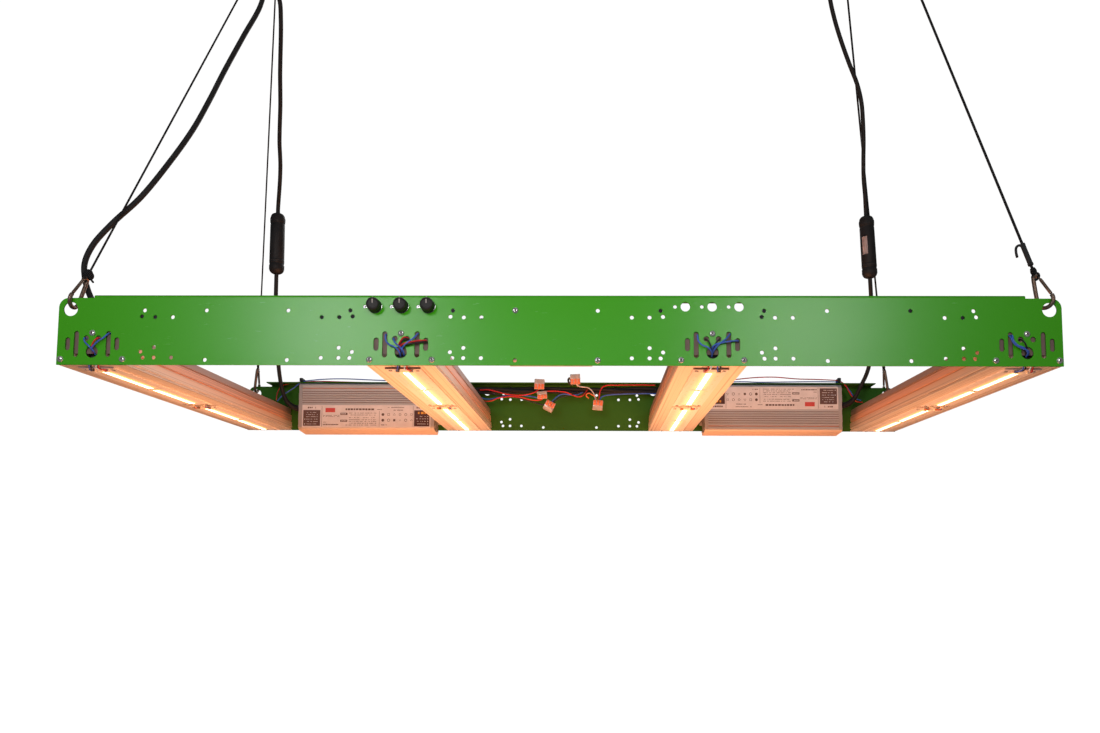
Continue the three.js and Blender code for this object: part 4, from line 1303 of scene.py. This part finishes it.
def makeAuxDriver():
    bm = bmesh.new()
    outline = [(-297, 7.6), (-296.4, 7), (-260.4, 7), (-257.9, 9.6), (-257.5, 10.4), (-257.5, 66.6),
               (-257.9, 67.4), (-260.4, 70), (-296.4, 70), (-297, 69.4)]
    verts = prism(bm, outline, -60, 44)
    bmesh.ops.bevel(bm, geom=list({e for v in verts for e in v.link_edges if e.calc_length() < 0.09}),
                    offset=0.0006, affect="EDGES", segments=2, profile=0.5, material=-1)
    block(bm, (-66, -297.7, 22), (50, -296.2, 54), 0.5)
    for x in (-63, 47):
        panHead(bm, at(x, -296.2, 38), Vector((0, 1, 0)), 2.2, 1.3)
    for k in range(9):
        block(bm, (-54 + 11.5 * k, -291, 69.6), (-48 + 11.5 * k, -264, 71.0), 0.5)
    for x in (-53, 37):
        for z in (14, 63):
            panHead(bm, at(x, -257.5, z), Vector((0, 1, 0)), 2.2, 1.2)
    block(bm, (-42, -257.6, 20), (26, -257.2, 56), 0.1, kind=3)
    pose = towards(at(-60, -280, 60), at(-61, -280, 60))
    turned(bm, [(0, 0), (6.5, 0), (6.5, 1.4), (6.0, 1.8), (6.0, 2.6), (6.5, 3), (6.5, 5.4), (5.6, 6), (0, 6)],
           pose, 24, kind=2)
    piece = finishPiece("aux driver case", bm, ["cap", "recess", "black", "label"],
                        smooth=30)
    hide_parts("aux_driver_housing")


# dimmers: pot, washer and nut in the sheet, and the fluted knob on its own body
def makeDimmers():
    for i in range(3):
        x = -190 + (i - 1) * 32.7
        axis = towards(at(x, 0, 73), at(x, -1, 73))
        bm = bmesh.new()
        turned(bm, [(0, 284.8), (7.6, 285), (8.2, 285.6), (8.2, 292), (7.9, 292.3), (7.9, 293), (8.2, 293.3),
                    (8.2, 297.6), (5.4, 297.8), (5.4, 300.3), (8.8, 300.3), (8.8, 300.9), (8.5, 301.0)],
               axis, 36)
        turned(bm, [(8.45, 300.95), (8.1, 302.1), (3.0, 302.3), (3.0, 311), (0, 311)], axis, 6)
        block(bm, (x - 13.2, -297.6, 71.6), (x - 8, -296.6, 74.4), 0.2)
        block(bm, (x - 7, -287, 57), (x + 7, -285.6, 67), 0.2, kind=1)
        for k in (-1, 0, 1):
            rod(bm, at(x + 4.5 * k, -286.2, 60), at(x + 4.5 * k, -286.2, 50), 0.7, 8)
        pot = finishPiece(f"dimmer base {i + 1}", bm, ["nickel", "boardEdge"], smooth=30)
        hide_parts(f"dimmer_pot_{i + 1}")
        bm = bmesh.new()
        turned(bm, [(3.4, 302.7), (8.3, 302.7), (8.65, 303.0), (8.65, 304.2), (8.3, 304.6), (7.95, 313.2),
                    (7.6, 314.3), (6.9, 314.9), (5.6, 315.0), (5.2, 314.5), (0, 314.35)], axis, 48)
        for k in range(30):
            a = 2 * math.pi * k / 30
            low = Vector((8.25 * math.cos(a), 0, 8.25 * math.sin(a)))
            high = Vector((7.72 * math.cos(a), 0, 7.72 * math.sin(a)))
            rod(bm, at(x + low.x, -304.6, 73 + low.z), at(x + high.x, -313.4, 73 + high.z), 0.38, 6)
        block(bm, (x - 0.55, -314.75, 73.5), (x + 0.55, -314.3, 80.2), 0.1, kind=1)
        block(bm, (x - 0.55, -313.6, 80.6), (x + 0.55, -305, 81.4), 0.1, kind=1)
        knob = finishPiece(f"knob cap {i + 1}", bm, ["blackGrip", "pointer"], f"knob_{i + 1}",
                           45)
        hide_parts(f"dimmer_knob_{i + 1}")
        for k, kind in enumerate(("red", "dark", "blue")):
            dx = 4.5 * (k - 1)
            route = [(x + dx, -286.2, 51), (x + dx, -286, 46), (x + dx * 0.6 - 3, -283, 38),
                     (x - 12, -282.5, 34), (-250 + 6 * i, -286, 30 + 2 * k)]
            cable(f"dimmer wire {i + 1} {k + 1}", smoothRoute([at(*p) for p in route], 6), 0.8, kind, 3)


# wires that come out of the big hole below each bar's screw and go back through the rail
def makeRailWires():
    red = {
        "loop": [(-2.2, 25.2, 2), (1.0, 30.0, 5), (4.6, 33.6, 5.5), (8.6, 33.4, 2), (9.0, 32.8, -3)],
        "long": [(-1.0, 16, -4), (-0.2, 22.5, 4), (4.2, 25.6, 6), (13, 27.8, 6), (23.3, 29.6, 5),
            (30.6, 30.2, 3), (31.4, 30.2, -4)],
        "short": [(1, 15, -4), (1.5, 21, 3.5), (5, 29, 5), (8.3, 32.8, 2.5), (8.6, 32.8, -4)],
        "left": [(-1, 15, -4), (-2, 22, 3), (-5.4, 29.4, 4.4), (-8.3, 32.6, 2), (-8.6, 32.6, -4)],
    }
    blue = {
        "slotLeft": [(-0.6, 12.2, -4), (-1.0, 15.6, 3), (-6.0, 21.3, 6.5), (-13.2, 24.6, 6),
            (-17.6, 30, 4.5), (-18.4, 37, 2), (-18.5, 38.5, -4)],
        "holeLeft": [(3.6, 13, -4), (3.8, 16.6, 3.5), (-1.5, 22.6, 6), (-6.6, 27.8, 5.5),
            (-8.6, 32.6, 2.4), (-8.6, 33.4, -4)],
        "slotRight": [(0.4, 15.5, -4), (2.2, 20, 4.4), (9.0, 27, 6.5), (16.6, 33, 5.5), (20.8, 38.4, 2),
            (21.0, 39.5, -4)],
        "slotRightLow": [(2, 14, -4), (-1, 18, 5), (-9, 21, 6.5), (-17.6, 27, 5), (-21, 36, 2.4),
            (-21.2, 38, -4)],
    }
    sets = {
        0: [("blue", "holeLeft"), ("red", "short"), ("blue", "slotRight")],
        1: [("blue", "slotLeft"), ("blue", "holeLeft"), ("blue", "slotRight"), ("red", "loop"),
            ("dark", "loop"), ("red", "long"), ("dark", "long")],
        2: [("blue", "slotLeft"), ("blue", "slotRight"), ("dark", "left"), ("dark", "short"),
            ("blue", "long")],
        3: [("blue", "slotLeft"), ("blue", "slotRightLow"), ("dark", "left")],
    }
    for i, members in sets.items():
        for kind, way in members:
            points = {**red, **blue}[way]
            shift = (1.2, -1.9) if kind == "dark" and way in ("loop", "long") else (0, 0)
            line = smoothRoute([at(barPlaces[i] + dx + shift[0], -300 - out * 0.72 - 0.4, z + shift[1])
                                for dx, z, out in points], 8)
            cable(f"rail wire {i + 1} {kind} {way}", line, 0.95, kind, 3)
    bm = bmesh.new()
    for x in barPlaces:
        # a guess: a dark plug of sleeving behind each big hole
        turned(bm, [(0, -290.5), (7.2, -290.5), (7.2, -291.5), (0, -291.5)],
               towards(at(x, 0, 16.3), at(x, 1, 16.3)), 28)
    finishPiece("tunnel grommets", bm, "black")


makeRails()
makeBoards()
makeDrivers()
makeReliefs()
makeAuxDriver()
makeDimmers()
makeRailWires()
print("rails, boards, drivers and dimmers")


# splice connectors, the loom and the loose wires along the back rail
def makeSplices():
    # middle in mm, height, lean in radians, and the end that the levers are at
    places = [((-56, 262, 82), 19, 0.05, 1), ((-50.7, 262, 61.8), 14, -0.06, 1),
              ((-37.4, 262, 41), 19, 0.5, -1), ((10.7, 262, 91.5), 19, -0.04, 1),
              ((52.8, 262, 43.1), 19, 0.1, -1)]
    for i, (spot, tall, turn, way) in enumerate(places):
        pose = Matrix.Translation(at(*spot)) @ Matrix.Rotation(turn, 4, "Y")
        bm = bmesh.new()
        h = tall / 2

        def part(low, high, round, kind):
            verts = block(bm, low, high, round, kind=kind)
            bmesh.ops.transform(bm, verts=verts, matrix=pose @ Matrix.Translation(-at(0, 0, 0)))
        part((-9.3, -4.1, -h), (9.3, 4.1, h), 0.9, 0)
        low, high = (-h + 0.5, h * 0.08) if way > 0 else (-h * 0.08, h - 0.5)
        for k in (-1, 0, 1):
            part((k * 6 - 2.6, -4.25, low), (k * 6 + 2.6, -2.4, high), 0.5, 1)
            part((k * 6 - 1.9, -1.2, -h + 2), (k * 6 + 1.9, 1.4, h - 2.4), 0.3, 2)
        part((-8.4, 1.6, -h + 2.6), (8.4, 2.4, h - 2.6), 0.2, 3)
        piece = finishPiece(f"splice {i + 1}", bm, ["clear", "lever", "terminal", "copper"],
                            smooth=35)
        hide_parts(f"lever_connector_{i + 1}")


def makeLoom():
    half = [(238, 275.3, 58.4), (222, 277, 62.5), (200, 279.5, 69), (170, 280, 73.5), (135, 280, 74.5),
            (100, 280, 73.5), (60, 280, 74.5)]
    points = ([(-244.4, 275, 58)] + [(-x, y, z) for x, y, z in half] + [(0, 280, 73.5)]
              + [*reversed(half)] + [(244.4, 275, 58)])
    spine = smoothRoute([at(*p) for p in points], 10)
    for k in range(3):
        line = []
        for i, place in enumerate(spine):
            way = (spine[min(i + 1, len(spine) - 1)] - spine[max(i - 1, 0)]).normalized()
            side = Vector((0, 0, 1)).cross(way).normalized()
            over = way.cross(side)
            a = 2 * math.pi * k / 3 + 0.055 * i
            line.append(place + (side * math.cos(a) + over * math.sin(a)) * 0.0036)
        cable(f"loom strand {k + 1}", line, 3.1, "jacket", 4)
    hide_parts("output_cable_loom")
    bm = bmesh.new()
    for x in (-180, -112, -20, 84, 160):
        near = min(range(len(spine)), key=lambda i: abs(spine[i].x - x / 1000))
        pose = towards(spine[near], spine[near + 1])
        turned(bm, [(6.9, -1.2), (7.6, -1.2), (7.6, 1.2), (6.9, 1.2)], pose, 28)
        rod(bm, pose @ Vector((0, -0.0068, 0)), pose @ Vector((0, -0.0102, 0)), 1.9, 8)
    finishPiece("loom ties", bm, "tie")


def makeLooseWires():
    routesHere = {
        "red one": ("red", 1.15, [(-168, 272, 73), (-152, 266, 72.5), (-136, 264, 69), (-118, 263, 64),
            (-96, 263, 62), (-78, 263.5, 63.5), (-64, 264, 68), (-57.5, 264, 72.6)]),
        "red two": ("red", 1.15, [(-176, 276, 60), (-160, 270, 52), (-147, 266, 51.5), (-132, 265, 57),
            (-112, 264.5, 59.5), (-92, 264, 58.5), (-74, 264, 54), (-60, 264, 52.6),
            (-50.5, 263.5, 54.4)]),
        "blue one": ("blue", 1.15, [(-176, 277, 64), (-162, 271, 57), (-148, 267, 55), (-128, 266.5, 59),
            (-106, 266, 62), (-84, 266, 61.5), (-66, 265.5, 59), (-54, 264.5, 55)]),
        "black one": ("dark", 1.15, [(-170, 276, 68), (-140, 268, 64), (-100, 267, 58), (-70, 266, 50),
            (-48, 264, 44), (-41, 263, 47.6)]),
        "red three": ("red", 1.1, [(-49, 264, 69.2), (-43.8, 264.5, 69.6), (-30, 265, 70.3),
            (-19.6, 265, 69.6), (-5.3, 265, 67.6), (6.2, 265, 62.6), (16.2, 265.5, 59.5),
            (24.8, 266.5, 62.4), (30, 271.5, 69), (33, 274, 74)]),
        "blue two": ("blue", 1.1, [(-33, 263, 49.5), (-28, 264, 55), (-20.5, 265, 61.3),
            (-11, 266.5, 64.8), (2, 267.5, 63.5), (14, 269.5, 64), (24, 272.5, 69)]),
        "dark two": ("dark", 1.3, [(-31, 262.5, 48), (-25, 263.5, 52.5), (-17, 264.8, 58),
            (-4, 267.6, 62), (8, 270, 66), (16, 273, 70)]),
        "grey": ("silverLabel", 1.1, [(13.5, 263, 83), (15, 264, 80.2), (24.7, 265, 77.9),
            (34, 266, 76.9), (41.5, 265.6, 71), (46, 264.5, 63.5), (48.5, 263, 54)]),
        "orange": ("lever", 1.1, [(36, 268, 57), (30.8, 267, 62.5), (35, 266, 66.5), (42, 264.8, 63.4),
            (49, 264, 58), (51.5, 263, 53)]),
        "red four": ("red", 1.15, [(54.2, 263, 52.4), (55.2, 264.5, 60), (56.8, 265.5, 69.5),
            (61.5, 266.5, 78), (70, 268, 81.6), (90, 270, 82.6), (112, 271.5, 83.2), (136, 272.5, 83.6),
            (160, 273.5, 83.2)]),
        "violet": ("blue", 1.2, [(56, 263, 52.6), (60, 265, 59.5), (73, 268, 63.4), (100, 270, 65.6),
            (128, 271.5, 66.6), (152, 273.5, 67.2), (172, 276, 66)]),
        "tail loop": ("dark", 1.9, [(3.8, 270, 82), (-1.0, 267, 86), (-2.6, 265.5, 91.5),
            (-0.2, 265, 94.6), (2.2, 266, 91), (2.6, 269, 85)]),
        "left top red": ("red", 1.0, [(-553.5, 279, 54), (-552, 279, 67), (-547, 280, 78.5),
            (-538, 281, 84.4), (-528, 281.5, 87), (-515, 282, 89), (-505, 282, 89.2), (-480, 281.5, 90.8),
            (-440, 281, 89.9), (-400, 281.5, 89.0), (-350, 282, 88.4), (-290, 282, 87.6), (-250, 282, 84),
            (-230, 282, 78)]),
        "left top blue": ("blue", 1.0, [(-548.4, 270.5, 51), (-540.3, 271, 60.7), (-531, 272, 68),
            (-519, 273, 76.5), (-508.6, 275, 86), (-502, 276.5, 89.6), (-480, 277, 92.6),
            (-452, 277, 94.4), (-420, 277, 94.6), (-380, 277.5, 93), (-330, 278, 91), (-285, 279, 88.6),
            (-252, 280, 85), (-230, 281, 80)]),
        "left top black": ("dark", 1.4, [(-512, 286, 84.5), (-500, 285.5, 87.4), (-470, 285, 88.4),
            (-420, 285, 87.4), (-360, 285.5, 87), (-300, 286, 87), (-256, 286, 84), (-232, 285, 78)]),
        "right top red": ("red", 1.0, [(545, 270, 51), (532.6, 270.5, 53.5), (523, 271.5, 67.6),
            (513.4, 273, 84.9), (503.6, 275.5, 92.4), (491, 276.5, 93.9), (460, 277, 95.4),
            (425.6, 277, 96.3), (382.7, 277, 99.6), (346.5, 277, 98.6), (311, 277.5, 95), (280, 279, 91),
            (252, 281, 86), (234, 282, 80)]),
        "right top blue": ("blue", 1.0, [(542.6, 273, 54.7), (531.4, 273.4, 60.4), (523, 274, 73.4),
            (509.3, 276.5, 89.2), (500, 279, 91), (460, 280.5, 91.8), (410, 280.5, 91.2),
            (351, 281, 90.7), (328, 281.3, 91.6), (300, 281.6, 91), (262, 282.5, 87), (236, 283, 80)]),
        "right top black": ("dark", 1.4, [(512, 286, 84.5), (500, 285.5, 87.4), (470, 285, 88.4),
            (420, 285, 88.4), (360, 285.5, 88), (300, 286, 87.6), (256, 286, 84), (234, 285, 78)]),
    }
    for name, (kind, radius, points) in routesHere.items():
        cable("wire " + name, smoothRoute([at(*p) for p in points], 8), radius, kind, 3)
    bm = bmesh.new()
    for x, z in ((-505, 90.3), (503, 92.4)):
        # a tie round the wires at each driver's outer end, its square head up
        outer = roundedRect(272, z - 5.8, 289.5, z + 4.4, 2)
        inner = roundedRect(273.2, z - 4.6, 288.3, z + 3.2, 1.2)
        pose = Matrix.Translation(at(x, 0, 0)) @ Matrix(((0, 0, 1), (1, 0, 0), (0, 1, 0))).to_4x4()
        strap = flatPlate("tie", outer, [inner], 4.4, pose, None, edge=0.15)
        join(bm, strap)
        block(bm, (x - 3, 270.4, z - 1.8), (x + 3, 275.5, z + 5), 0.7)
    finishPiece("driver ties", bm, "tie")


makeSplices()
makeLoom()
makeLooseWires()
print("splices, loom and wires")

# the heat sinks keep the frame's own shape
for i in range(4):
    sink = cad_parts[f"heat_sink_{i + 1}"]
    sink.data.materials.clear()
    sink.data.materials.append(finishes["bar"])
